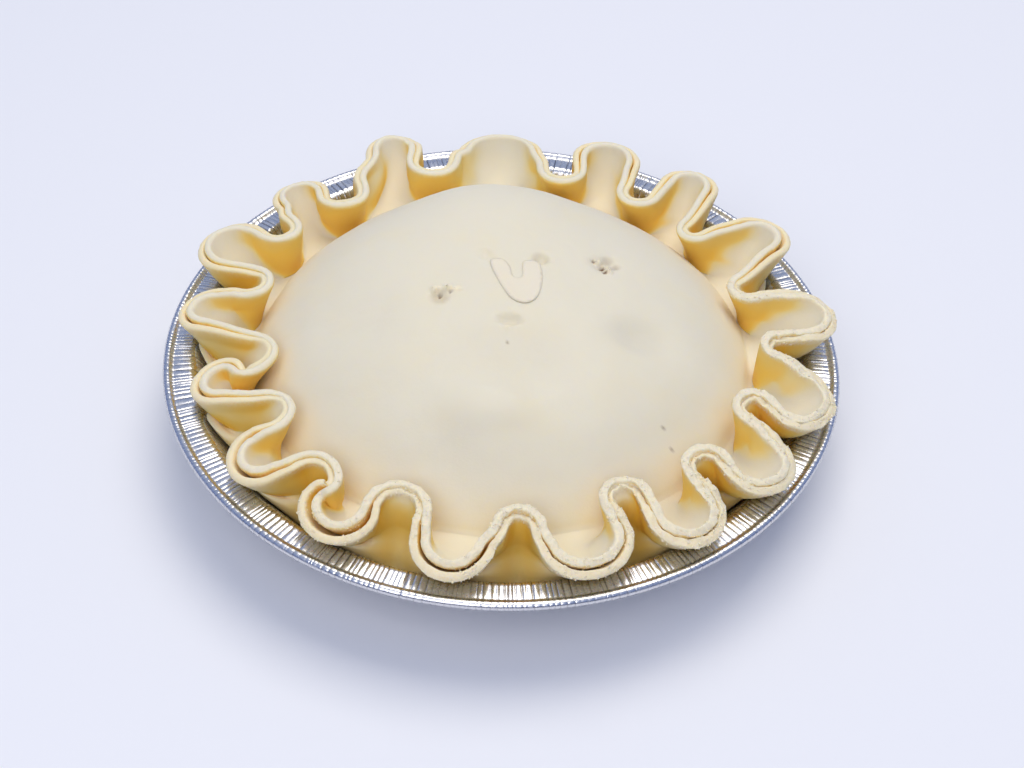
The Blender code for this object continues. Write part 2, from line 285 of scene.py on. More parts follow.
@dataclass(frozen=True)
class RawShortcrust:
    """Raw shortcrust pastry, rolled out on flour.

    Flour and butter make it matt, pale cream and slightly translucent. Light that goes into a fold
    comes out yellow, so folds look golden: that glow, and the shade of the deepest folds, are
    painted into its colour from the painted fold shade. A cut edge is whiter, crumbly and floury.
    """

    name: str
    tints: tuple[str, str, str, str]
    cut: str
    # deep is the darker orange painted shade of the deepest folds; the stops place the tints and it along
    # the painted fold shade.
    deep: str = "#F4C258"
    bran: str = "#6B4A32"
    painted_shade_stops: tuple[float, ...] = (0.0, 0.08, 0.2, 0.42, 0.78)
    roughness: tuple[float, float] = (0.47, 0.65)
    depth_mm: float = 1.5
    cloud_mm: float = 16.0
    fleck_mm: float = 1.1
    grain_mm: float = 0.8
    relief: tuple[float, float] = (0.5, 0.12)
    cut_relief: float = 4.0
    drift: float = 0.06

    def material(self) -> bpy.types.Material:
        """Builds the finish."""
        made, tree, shader = new_material(self.name, {
            "Subsurface Weight": 0.6,
            "Subsurface Radius": (1.0, 0.88, 0.5),
            "Subsurface Scale": self.depth_mm * MM,
            "Specular IOR Level": 0.3,
        })
        place = add_node(tree, "ShaderNodeTexCoord").outputs["Object"]
        known = {
            mark.value: add_node(tree, "ShaderNodeAttribute", attribute_name=mark.value).outputs["Fac"]
            for mark in (Mark.PAINTED_FOLD_SHADE, Mark.CUT, Mark.BRAN_AND_PAINTED_SHADE)
        }
        for name, size, detail, harsh in (
            ("cloud", self.cloud_mm, 4.0, 0.5), ("fleck", self.fleck_mm, 3.0, 0.7),
            ("grain", self.grain_mm, 5.0, 0.65),
        ):
            known[name] = add_node(
                tree, "ShaderNodeTexNoise",
                {"Vector": place, "Scale": 1 / (size * MM), "Detail": detail, "Roughness": harsh},
            ).outputs["Fac"]
        known["flour"] = add_node(
            tree, "ShaderNodeValToRGB", {"Fac": known["fleck"]}, ((0.4, 0.3), (0.62, 1.0))
        ).outputs["Color"]
        add_table(tree, known, (
            ("drift", MATH, "MULTIPLY_ADD", "cloud", self.drift, -self.drift / 2),
            # Painted fold shade, with a little random mottling added.
            ("depth", MATH, "ADD", Mark.PAINTED_FOLD_SHADE.value, "drift"),
            ("floured", MATH, "MULTIPLY", "flour", Mark.CUT.value),
            ("relief", MATH, "MULTIPLY_ADD", Mark.CUT.value, self.cut_relief, 1.0),
            ("height", MATH, "MULTIPLY", "grain", "relief"),
        ))
        # Painted shade: pale cream where a point is open, golden and then orange deeper in a fold.
        colours = [srgb(code) for code in (*self.tints, self.deep)]
        colour = add_node(
            tree, "ShaderNodeValToRGB", {"Fac": known["depth"]}, tuple(zip(self.painted_shade_stops, colours))
        ).outputs["Color"]
        # Flour on cut edges, then the bran colour, which also paints shade into the lid's holes and dents.
        for share, over in (("floured", self.cut), (Mark.BRAN_AND_PAINTED_SHADE.value, self.bran)):
            colour = add_node(
                tree, "ShaderNodeMix", {"Factor": known[share], "A": colour, "B": srgb(over)},
                data_type="RGBA",
            ).outputs["Result"]
        tree.links.new(colour, shader.inputs["Base Color"])
        roughen(tree, shader, known["height"], self.relief, known["grain"], self.roughness)
        return made


@dataclass(frozen=True)
class PleatedFoil:
    """Aluminium foil, rolled bright, pressed into a tin and pleated.

    A bright metal, a little soft in its reflections, with small creases. A tight fold between two
    pleats lets hardly any light out, so a dark brown painted shade is laid along it as a line.
    """

    name: str = "aluminium_foil"
    colour: str = "#DDDDE0"
    crease_shade_colour: str = "#3E2E24"
    roughness: tuple[float, float] = (0.18, 0.34)
    crease_mm: float = 2.4
    relief: tuple[float, float] = (0.35, 0.12)

    def material(self) -> bpy.types.Material:
        """Builds the finish."""
        made, tree, shader = new_material(self.name, {"Metallic": 1.0})
        place = add_node(tree, "ShaderNodeTexCoord").outputs["Object"]
        fold = add_node(tree, "ShaderNodeAttribute", attribute_name=Mark.CREASE.value).outputs["Fac"]
        mixed = add_node(
            tree, "ShaderNodeMix", {"Factor": fold, "A": srgb(self.colour), "B": srgb(self.crease_shade_colour)},
            data_type="RGBA",
        ).outputs["Result"]
        tree.links.new(mixed, shader.inputs["Base Color"])
        crease = add_node(
            tree, "ShaderNodeTexNoise",
            {"Vector": place, "Scale": 1 / (self.crease_mm * MM), "Detail": 3.0, "Roughness": 0.5},
        ).outputs["Fac"]
        roughen(tree, shader, crease, self.relief, crease, self.roughness)
        return made


@dataclass(frozen=True)
class PaleTable:
    """Matt white board, cool white, as the plain floor under the pie."""

    name: str = "pale_table"
    colour: str = "#EDEDEF"

    def material(self) -> bpy.types.Material:
        """Builds the finish."""
        return new_material(self.name, {
            "Base Color": srgb(self.colour), "Roughness": 0.7, "Specular IOR Level": 0.2,
        })[0]


@dataclass
class Studio:
    """Floor, light and camera."""

    floor_side: float = 6000.0
    lens: float = 58.0
    camera_place: tuple[float, float, float] = (0.0, -405.5, 395.2)
    camera_rows: tuple[tuple[float, float, float], ...] = (
        (0.99942816, 0.01816993, 0.02851685),
        (-0.03320216, 0.68698957, 0.72590836),
        (-0.00640107, -0.72644007, 0.68720001),
    )
    lamps: tuple[tuple[Any, ...], ...] = (
        ("window", (200, 500, 1550), 1100, 14.3, (1.0, 0.93, 0.8)),
        ("front_fill", (-250, -950, 1050), 1000, 7.4, (1.0, 0.97, 0.93)),
    )
    sky: tuple[tuple[float, str], ...] = ((0.15, "#5C4A40"), (0.5, "#9DB5F0"), (0.9, "#D3E1FF"))
    sky_strength: float = 0.6
    sky_by_height: float = 0.5
    sky_by_rear: float = 0.16
    sky_level: float = 0.35

    def build(self) -> None:
        """Makes all of it."""
        scene = bpy.context.scene
        scene.view_settings.view_transform = "Standard"
        self.floor()
        self.world(scene)
        for lamp in self.lamps:
            self.lamp(*lamp)
        lens = bpy.data.cameras.new("camera")
        lens.lens = self.lens
        camera = bpy.data.objects.new("camera", lens)
        turn = Matrix(self.camera_rows).transposed().to_4x4()
        camera.matrix_world = Matrix.Translation(Vector(self.camera_place) * MM) @ turn
        scene.collection.objects.link(camera)
        scene.camera = camera

    def floor(self) -> None:
        """Makes the floor that the tin stands on."""
        half = self.floor_side / 2 * MM
        data = bpy.data.meshes.new("floor")
        corners = [(-half, -half, 0), (half, -half, 0), (half, half, 0), (-half, half, 0)]
        data.from_pydata(corners, [], [(0, 1, 2, 3)])
        data.materials.append(PaleTable().material())
        link("floor", data)

    def world(self, scene: bpy.types.Scene) -> None:
        """Sets the cool light that comes from all round, darker low on the viewer's side."""
        world = bpy.data.worlds.new("room")
        world.use_nodes = True
        tree = world.node_tree
        background = tree.nodes["Background"]
        place = add_node(tree, "ShaderNodeTexCoord").outputs["Generated"]
        parts = add_node(tree, "ShaderNodeSeparateXYZ", {0: place}).outputs
        known = {"y": parts["Y"], "z": parts["Z"]}
        add_table(tree, known, (
            ("rise", MATH, "MULTIPLY_ADD", "z", self.sky_by_height, self.sky_level),
            ("light", MATH, "MULTIPLY_ADD", "y", self.sky_by_rear, "rise"),
        ))
        colour = add_node(
            tree, "ShaderNodeValToRGB", {"Fac": known["light"]},
            tuple((place, srgb(code)) for place, code in self.sky),
        ).outputs["Color"]
        tree.links.new(colour, background.inputs["Color"])
        background.inputs["Strength"].default_value = self.sky_strength
        scene.world = world

    def lamp(
        self, name: str, place: tuple[float, float, float], side: float, power: float,
        colour: tuple[float, float, float],
    ) -> None:
        """Makes a square soft light that looks at the pie.

        Args:
            name: Name of the light.
            place: Where it hangs, mm.
            side: Length of its side, mm.
            power: Watts.
            colour: Linear colour.
        """
        light = bpy.data.lights.new(name, "AREA")
        light.size = side * MM
        light.energy = power
        light.color = colour
        made = bpy.data.objects.new(name, light)
        made.location = Vector(place) * MM
        made.rotation_euler = (-made.location).to_track_quat("-Z", "Y").to_euler()
        bpy.context.scene.collection.objects.link(made)


@dataclass(frozen=True)
class Bend:
    """One bend of the ruffle's edge.

    An inner bend's radius is that of its side that faces the dome, and an outer bend's is that of
    the lid's edge. The lean is how far its axis turns from straight outward.
    """

    angle: float
    radius: float
    height: float
    width: float
    lean: float = 0.0


@dataclass(frozen=True)
class Fold:
    """An inner bend and the outer bend after it, counter-clockwise.

    gap is how far the bottom crust stands off the lid at the outer bend, and torn is how ragged
    the edge is there, 0 to 1.
    """

    inner: Bend
    outer: Bend
    gap: float = 0.0
    torn: float = 0.2


FOLDS = (
    Fold(Bend(12, 77, 11, 12, 22), Bend(28.3, 107, 12, 14.5, 4), 1.0, 0.15),
    Fold(Bend(36.5, 75.5, 11, 11, 9), Bend(49.7, 106.5, 12, 13, 12), 0.4, 0.1),
    Fold(Bend(56, 76, 11, 14, 4), Bend(68.2, 105.5, 12, 17), 0.4, 0.1),
    Fold(Bend(77, 76, 11, 16), Bend(92, 105, 9.5, 24), 0.0, 0.1),
    Fold(Bend(107.5, 80, 11, 18), Bend(115, 108, 12, 14), 0.0, 0.25),
    Fold(Bend(131.5, 78, 11, 18), Bend(139, 105, 9, 14), 0.0, 0.1),
    Fold(Bend(151, 81.5, 11, 15), Bend(160.5, 108, 11, 19), 0.0, 0.15),
    Fold(Bend(172, 78, 11, 14, -17), Bend(178, 104, 8, 13, -10), 0.5, 0.15),
    Fold(Bend(196.5, 74, 11, 18, -24), Bend(198, 99.5, 7, 12, -24), 0.7, 0.25),
    Fold(Bend(214.5, 76.5, 11, 17, -18), Bend(220.5, 102, 7, 13, -12), 1.2, 0.3),
    Fold(Bend(233.2, 82, 11, 17, -8), Bend(241, 102, 7, 14), 1.8, 0.45),
    Fold(Bend(250.8, 79, 11, 18, 2), Bend(262.5, 104, 7, 16), 1.1, 0.8),
    Fold(Bend(274.2, 82, 11, 14, -2), Bend(286.5, 104.5, 7, 20, 9), 0.8, 0.75),
    Fold(Bend(294.8, 78, 11, 14, 14), Bend(305, 106, 7, 17, 2), 0.5, 1.0),
    Fold(Bend(314.3, 80.5, 11, 14, 6), Bend(323.5, 107, 7, 18), 0.0, 0.8),
    Fold(Bend(334.5, 80, 11, 13, 2), Bend(341.7, 108, 8, 20, -4), 0.0, 0.9),
    Fold(Bend(354.5, 83.5, 11, 12), Bend(365, 108.5, 10, 18, 4), 0.0, 0.7),
)


@dataclass(frozen=True)
class Dent:
    """A hollow in the lid, or a bump where deep is below 0, in mm from the middle.

    torn is how far the dough is broken open there, and dark how dark it is painted: painted shade in
    the vents' holes and craters and in the dents and hollows, and bran in the flecks.
    tall is its depth from front to rear for its width.
    """

    x: float
    y: float
    wide: float
    deep: float
    torn: float = 0.0
    dark: float = 0.0
    tall: float = 1.0

    def nearness(self, points: np.ndarray) -> np.ndarray:
        """1 in its middle, falling to 0 around it."""
        across = (points[..., 0] - self.x) / self.wide
        along = (points[..., 1] - self.y) / (self.wide * self.tall)
        return np.exp(-(across * across + along * along) ** 1.4)


# Two pricked vents with torn crumbs and holes, a finger's dent, the hollow behind the heart, soft
# # hollows and flecks of bran. The dark of the holes, the vents' craters, the dents and the hollows is
# # painted shade; only that of the flecks is bran.
DENTS = (
    Dent(-20.5, -7.6, 2.8, 1.5, 0.3, 0.14),
    Dent(-21.8, -4.4, 1.6, -1.2, 1.0),
    Dent(-18.4, -3.6, 1.3, -1.0, 0.9),
    Dent(-15.2, -4.0, 1.2, -0.8, 0.8),
    Dent(-20.4, -6.2, 0.7, 1.2, 0.0, 0.55),
    Dent(-17.0, -5.2, 0.7, 0.8, 0.0, 0.4),
    Dent(31.8, 14.4, 3.9, 1.2, 0.2, 0.1),
    Dent(33.6, 17.6, 1.9, 0.9, 0.0, 0.2),
    Dent(36.0, 14.6, 1.6, 0.8, 0.0, 0.22),
    Dent(30.7, 14.6, 1.4, -1.5, 1.0),
    Dent(33.0, 12.8, 1.3, -1.4, 1.0),
    Dent(33.6, 10.4, 1.1, -0.7, 0.9),
    Dent(28.9, 15.6, 0.7, 1.1, 0.0, 0.6),
    Dent(31.5, 12.2, 0.8, 1.1, 0.0, 0.85),
    Dent(32.4, 10.2, 0.7, 0.9, 0.0, 0.85),
    Dent(2.0, -16.6, 3.8, 2.2, 0.0, 0.06, 0.5),
    Dent(1.2, -19.4, 1.3, -0.3, 0.3),
    Dent(11.6, 12.4, 2.4, 2.6, 0.0, 0.08, 0.9),
    Dent(-6.5, 12.6, 2.2, 0.9),
    Dent(45.0, -16.0, 10.0, 1.9, 0.0, 0.03, 0.7),
    Dent(3.0, -29.0, 20.0, 1.5, 0.0, 0.02, 0.55),
    Dent(-4.0, -49.0, 15.0, -1.8, 0.0, 0.0, 0.5),
    Dent(-47.0, -14.0, 12.0, 1.0, 0.0, 0.0, 0.8),
    Dent(-20.0, 5.0, 8.0, 0.35, 0.0, 0.0, 0.8),
    Dent(57.0, -54.0, 0.7, 0.1, 0.0, 0.9, 0.7),
    Dent(50.0, -46.8, 0.5, 0.1, 0.0, 0.35),
    Dent(52.6, -51.6, 0.5, 0.1, 0.0, 0.35),
    Dent(1.4, -25.4, 0.5, 0.1, 0.0, 0.4),
)

# Places where the ruffle's edge is torn: x, y, reach and depth in mm.
TEARS = (
    (-80.0, -20.5, 3.6, 3.2),
    (87.0, 2.5, 3.4, 2.6),
    (-34.0, 97.5, 3.0, 2.6),
    (56.5, -70.5, 3.4, 1.5),
    (43.0, -87.0, 4.0, 1.6),
    (-25.0, -93.0, 3.2, 1.4),
)


@dataclass
class Ruffle:
    """The lid's middle layer, from its dome out to the edge of its ruffle."""

    lid_thickness: float = 2.7
    dome_radius: float = 80.5
    dome_top: float = 24.7
    dome_foot: float = -5.0
    dome_flatness: float = 2.4
    dome_steepness: float = 0.75
    valley_radius: float = 85.5
    valley_heights: tuple[float, float] = (-7.0, -4.8)
    foot_wave: float = 1.3
    free_level: float = 0.8
    slant: float = 0.8
    inner_ease: float = 1.6
    outer_ease: float = 0.72
    outer_rise: float = 1.5
    crest_ease: float = 1.15
    foot_width: float = 0.8
    bend_room: float = 0.42
    bend_bow: float = 1.66
    arc_steps: int = 8
    flank_steps: int = 8
    lumps: tuple[tuple[float, float, float, float], ...] = (
        (98, 56, 32, 9.0),
        (150, 50, 26, 2.5),
        (267, 57, 13, 2.4),
        (258, 69, 10, -2.2),
        (238, 66, 12, 1.0),
        (285, 40, 11, -0.9),
        (215, 40, 22, 1.0),
        (310, 50, 22, 1.0),
        (338, 49, 12, -1.5),
    )

    @property
    def count(self) -> int:
        """Points of a ring."""
        return len(FOLDS) * self.fold_steps

    @property
    def fold_steps(self) -> int:
        """Points of one fold."""
        return 4 * self.arc_steps + 2 * self.flank_steps

    def share(self) -> np.ndarray:
        """For each point of a ring, 0 at an inner bend to 1 at an outer bend."""
        half = np.arange(self.fold_steps // 2) / (self.fold_steps // 2)
        return np.tile(np.concatenate((half, 1 - half)), len(FOLDS))

    def spread(self, values: list[float], reach: float = 1.0) -> np.ndarray:
        """Values of the outer bends, faded out towards the inner bends on both sides.

        Args:
            values: One value a fold.
            reach: How far along the flanks a value holds, 0 to 1.

        Returns:
            One value for each point of a ring.
        """
        fade = smooth(self.share() * (1 + reach))
        return np.repeat(values, self.fold_steps) * fade

    def dome_height(self, x: np.ndarray, y: np.ndarray) -> np.ndarray:
        """Height over the rim of the middle of the lid's dough on the dome."""
        reach = np.minimum(np.hypot(x, y) / self.dome_radius, 1.0)
        arch = (1 - reach ** self.dome_flatness) ** self.dome_steepness
        height = lerp(self.dome_foot, self.dome_top, arch)
        for angle, distance, wide, rise in self.lumps:
            turn = math.radians(angle)
            away = np.hypot(x - distance * math.cos(turn), y - distance * math.sin(turn)) / wide
            height = height + (1 - reach ** 4) * rise * np.exp(-away * away)
        return height

    def tips(self, level: float, inner: bool) -> tuple[np.ndarray, ...]:
        """Bends of one kind at a level.

        Args:
            level: 0 at the foot of the ruffle to 1 at its edge.
            inner: Whether the bends are the inner ones.

        Returns:
            Their tips, outward axes, half widths, heights and radii.
        """
        bends = [fold.inner if inner else fold.outer for fold in FOLDS]
        angle = np.radians([bend.angle for bend in bends])
        half = self.lid_thickness / 2
        top = np.array([bend.radius for bend in bends])
        top = top + half if inner else top - half
        axis_turn = angle + np.radians([bend.lean for bend in bends])
        axis = np.stack((np.cos(axis_turn), np.sin(axis_turn)), axis=1)
        tip = np.stack((top * np.cos(angle), top * np.sin(angle)), axis=1)
        if inner:
            radius = lerp(self.valley_radius - self.foot_wave, top, level ** self.inner_ease)
        else:
            radius = lerp(self.valley_radius + self.foot_wave, top, level ** self.outer_ease)
        tip = tip + axis * (radius - top)[:, None]
        widen = 1.0 if inner else lerp(self.foot_width, 1.0, level)
        width = np.array([bend.width for bend in bends]) / 2 * widen
        high = np.array([bend.height for bend in bends])
        risen = level if inner else level ** self.outer_rise
        height = lerp(self.valley_heights[0 if inner else 1], high, risen)
        return tip, axis, width, height, radius

    def plain(self, inner_tips: np.ndarray, in_radius: np.ndarray, out_radius: np.ndarray) -> np.ndarray:
        """Ring without loops, with its points evenly spread and waving between the bends' radii."""
        starts = np.unwrap(np.arctan2(inner_tips[:, 1], inner_tips[:, 0]))
        ends = np.append(starts[1:], starts[0] + 2 * math.pi)
        steps = np.arange(self.fold_steps) / self.fold_steps
        angles = (starts[:, None] + (ends - starts)[:, None] * steps).ravel()
        low, fold = self.beside(in_radius)
        radius = lerp(low, out_radius[fold], smooth(self.share()))
        return np.column_stack((radius * np.cos(angles), radius * np.sin(angles)))

    def beside(self, values: np.ndarray) -> tuple[np.ndarray, np.ndarray]:
        """For each point of a ring, its nearest inner bend's value, and the number of its fold."""
        fold = np.arange(self.count) // self.fold_steps
        second = (np.arange(self.count) % self.fold_steps) >= self.fold_steps // 2
        return np.where(second, np.roll(values, -1)[fold], values[fold]), fold

    def ring(self, level: float) -> np.ndarray:
        """Closed curve through the bends at a level, as points in mm."""
        in_tip, in_axis, in_half, in_height, in_radius = self.tips(level, True)
        out_tip, out_axis, out_half, out_height, out_radius = self.tips(level, False)
        room = self.bend_room * (np.minimum(out_radius, np.roll(out_radius, 1)) - in_radius)
        in_deep = np.minimum(in_half, room)
        room = self.bend_room * (out_radius - np.maximum(in_radius, np.roll(in_radius, -1)))
        out_deep = np.minimum(out_half, room)
        in_across = np.stack((-in_axis[:, 1], in_axis[:, 0]), axis=1)
        out_across = np.stack((-out_axis[:, 1], out_axis[:, 0]), axis=1)
        knots, leave, arrive, steps = [], [], [], []
        bow = self.bend_bow
        for index in range(len(FOLDS)):
            following = (index + 1) % len(FOLDS)
            in_side = in_across[index] * in_half[index]
            out_side = out_across[index] * out_half[index]
            next_side = in_across[following] * in_half[following]
            next_axis = in_axis[following]
            low = out_tip[index] - out_axis[index] * out_deep[index] - out_side
            high = out_tip[index] - out_axis[index] * out_deep[index] + out_side
            last = in_tip[index] + in_axis[index] * in_deep[index] + in_side
            onto = in_tip[following] + next_axis * in_deep[following] - next_side
            climb, fall = low - last, onto - high
            long_climb, long_fall = np.linalg.norm(climb), np.linalg.norm(fall)
            both = (in_axis[index], out_axis[index])
            up_ways = [unit(axis + self.slant * climb / long_climb) for axis in both]
            both = (out_axis[index], next_axis)
            down_ways = [unit(self.slant * fall / long_fall - axis) for axis in both]
            knots += [in_tip[index], last, low, out_tip[index], high, onto]
            arrive += [
                bow * in_side, bow * in_deep[index] * up_ways[0], long_climb * up_ways[1], bow * out_side,
                bow * out_deep[index] * down_ways[0], long_fall * down_ways[1],
            ]
            leave += [
                bow * in_side, long_climb * up_ways[0], bow * out_deep[index] * up_ways[1], bow * out_side,
                long_fall * down_ways[0], bow * in_deep[following] * down_ways[1],
            ]
            steps += [self.arc_steps, self.flank_steps, self.arc_steps] * 2
        points = []
        for index, count in enumerate(steps):
            following = (index + 1) % len(steps)
            share = (np.arange(count) / count)[:, None]
            points.append(hermite(knots[index], knots[following], leave[index], arrive[following], share))
        freed = smooth(level / self.free_level)
        flat = lerp(self.plain(in_tip, in_radius, out_radius), np.concatenate(points), freed)
        low_height, fold = self.beside(in_height)
        height = lerp(low_height, out_height[fold], smooth(self.share() ** self.crest_ease))
        return np.column_stack((flat, height + TIN_HEIGHT))

    def dome_ring(self, radius: float, angles: np.ndarray) -> np.ndarray:
        """Ring of the dome."""
        x = radius * np.cos(angles)
        y = radius * np.sin(angles)
        return np.column_stack((x, y, self.dome_height(x, y) + TIN_HEIGHT))

    def sheet(self, dome: np.ndarray, levels: np.ndarray) -> np.ndarray:
        """Middle layer as a grid of points, ring by ring outward.

        Args:
            dome: Radii of the dome's rings.
            levels: Levels of the ruffle's rings.

        Returns:
            Points in mm: rings, points of a ring, x y z.
        """
        foot = self.ring(0.0)
        angles = np.arctan2(foot[:, 1], foot[:, 0])
        rings = [self.dome_ring(radius, angles) for radius in dome]
        return np.array(rings + [self.ring(level) for level in levels])


def upward(rings: np.ndarray) -> np.ndarray:
    """Directions up from a grid of rings, one a point."""
    following = np.roll(rings, -1, axis=1)
    faces = unit(np.cross(following[1:] - rings[:-1], following[:-1] - rings[1:]))
    faces = faces + np.roll(faces, 1, axis=1)
    total = np.zeros_like(rings)
    total[:-1] += faces
    total[1:] += faces
    return unit(total)


def onward(rings: np.ndarray, up: np.ndarray) -> np.ndarray:
    """Direction in which the last ring's sheet goes on, square to its upward direction."""
    run = rings[-1] - rings[-3]
    run = run - up[-1] * np.sum(run * up[-1], axis=1, keepdims=True)
    return unit(run)


def tear(
    rings: np.ndarray, levels: np.ndarray, grain: float = 1.8, jagged: float = 0.9,
    start: float = 0.72, run_out: float = 0.28,
) -> np.ndarray:
    """Sheet whose edge is drawn back, jagged, where it is torn.

    Args:
        rings: Points in mm, ring by ring outward.
        levels: Levels of the last of them, which are the ruffle's.
        grain: Size of the jags in mm.
        jagged: Share of the depth by which they vary.
        start: Level from which on the sheet is drawn back.
        run_out: Levels over which that grows to its full depth.

    Returns:
        The moved points.
    """
    moved = rings.copy()
    first = len(rings) - len(levels)
    edge = rings[-1]
    pull = np.zeros(rings.shape[1])
    for x, y, reach, depth in TEARS:
        near = np.exp(-((edge[:, 0] - x) ** 2 + (edge[:, 1] - y) ** 2) / (reach * reach))
        pull = pull + depth * near
    pull = pull * (1 + jagged * rough(edge, grain, 2, 33.0))
    run = unit(rings[-1] - rings[-3])
    for index, level in enumerate(levels):
        moved[first + index] -= run * (pull * smooth((level - start) / run_out))[:, None]
    return moved


@dataclass
class Shell:
    """A closed surface of rings, from one middle point out and back to another."""

    rings: list[np.ndarray] = field(default_factory=list)
    cuts: list[np.ndarray] = field(default_factory=list)

    def add(self, points: np.ndarray, cut: Any = 0.0) -> None:
        """Adds a ring, with how much of a cut edge each of its points is."""
        self.rings.append(np.atleast_2d(points))
        self.cuts.append(np.broadcast_to(cut, len(self.rings[-1])))

    def mesh(self, name: str) -> bpy.types.Mesh:
        """Joins the rings with faces."""
        starts = np.cumsum([0] + [len(ring) for ring in self.rings])
        faces: list[tuple[int, ...]] = []
        for index in range(len(self.rings) - 1):
            inner = np.arange(starts[index], starts[index + 1])
            outer = np.arange(starts[index + 1], starts[index + 2])
            faces += self.band(inner, outer)
        data = new_mesh(name, np.concatenate(self.rings), faces)
        keep(data, Mark.CUT.value, np.concatenate(self.cuts))
        return data

    @staticmethod
    def band(inner: np.ndarray, outer: np.ndarray) -> list[tuple[int, ...]]:
        """Faces between two rings, one of which may have several points for each of the other."""
        if len(inner) == 1 or len(outer) == 1:
            around = outer if len(inner) == 1 else inner
            pairs = zip(around.tolist(), np.roll(around, -1).tolist())
            if len(inner) == 1:
                return [(inner[0], one, other) for one, other in pairs]
            return [(one, outer[0], other) for one, other in pairs]
        after_in, after_out = np.roll(inner, -1), np.roll(outer, -1)
        if len(inner) == len(outer):
            return np.column_stack((inner, outer, after_out, after_in)).tolist()
        ratio = max(len(inner), len(outer)) // min(len(inner), len(outer))
        faces = []
        for step in range(ratio):
            if len(inner) < len(outer):
                faces.append(np.column_stack((inner, outer[step::ratio], after_out[step::ratio])))
            else:
                faces.append(np.column_stack((inner[step::ratio], outer, after_in[step::ratio])))
        if len(inner) < len(outer):
            faces.append(np.column_stack((inner, after_out[ratio - 1::ratio], after_in)))
        else:
            faces.append(np.column_stack((after_in[ratio - 1::ratio], outer, after_out)))
        return np.concatenate(faces).tolist()


@dataclass
class CutEdge:
    """Rounded, crumbly cut edge that joins a sheet's upper side to its under side."""

    steps: int = 6
    grain: float = 2.2
    coarse: float = 0.35
    ragged: float = 1.25
    crumbly: float = 0.26
    squareness: float = 0.38
    bulge: float = 0.5
    uneven: float = 0.28
    clean_power: float = 0.95
    clean_share: float = 0.4
    clean_flour: float = 0.12
    full_flour: float = 0.7
    wave_grain: float = 5.0
    crumb_grain: float = 0.7
    slip_grain: float = 3.0
    slip_share: float = 0.5

    def torn(self, ruffle: Ruffle) -> np.ndarray:
        """How ragged the edge is at each point of a ring."""
        values = np.array([fold.torn for fold in FOLDS])
        low, fold = ruffle.beside((values + np.roll(values, 1)) / 2)
        return lerp(low, values[fold], ruffle.share())

    def floury(self, torn: np.ndarray) -> np.ndarray:
        """How white and crumbly the edge looks at each point, from how ragged it is."""
        return lerp(self.clean_flour, 1.0, smooth(torn / self.full_flour))

    def rings(
        self, middle: np.ndarray, up: np.ndarray, out: np.ndarray, half: np.ndarray, torn: np.ndarray,
        seed: float,
    ) -> list[np.ndarray]:
        """Rings round the edge, from the upper side to the under side.

        Args:
            middle: Last ring of the sheet's middle layer.
            up: Directions to its upper side.
            out: Directions in which the sheet would go on.
            half: Half of its thickness, one a point.
            torn: How ragged the edge is, one a point.
            seed: Shift of the noise.

        Returns:
            The rings, in mm.
        """
        made = []
        half = half * (1 + self.uneven * torn * rough(middle, self.wave_grain, 2, seed + 7))
        power = lerp(self.clean_power, self.squareness, torn)
        bulge = lerp(1.0, self.bulge, torn)
        for step in range(1, self.steps):
            turn = math.pi * step / self.steps
            aside = np.copysign(abs(math.cos(turn)) ** power, math.cos(turn))
            ahead = math.sin(turn) ** power
            ring = middle + up * (half * aside)[:, None] + out * (half * ahead * bulge)[:, None]
            bumps = rough(ring, self.grain, 3, seed) * lerp(self.coarse, self.ragged, torn)
            bumps = bumps + self.crumbly * rough(ring, self.crumb_grain, 2, seed + 4)
            aslant = rough(ring, self.slip_grain, 3, seed + 13) * torn * self.ragged * self.slip_share
            ring = ring + up * (aslant * ahead)[:, None]
            made.append(ring + out * (bumps * ahead * lerp(self.clean_share, 1.0, torn))[:, None])
        return made


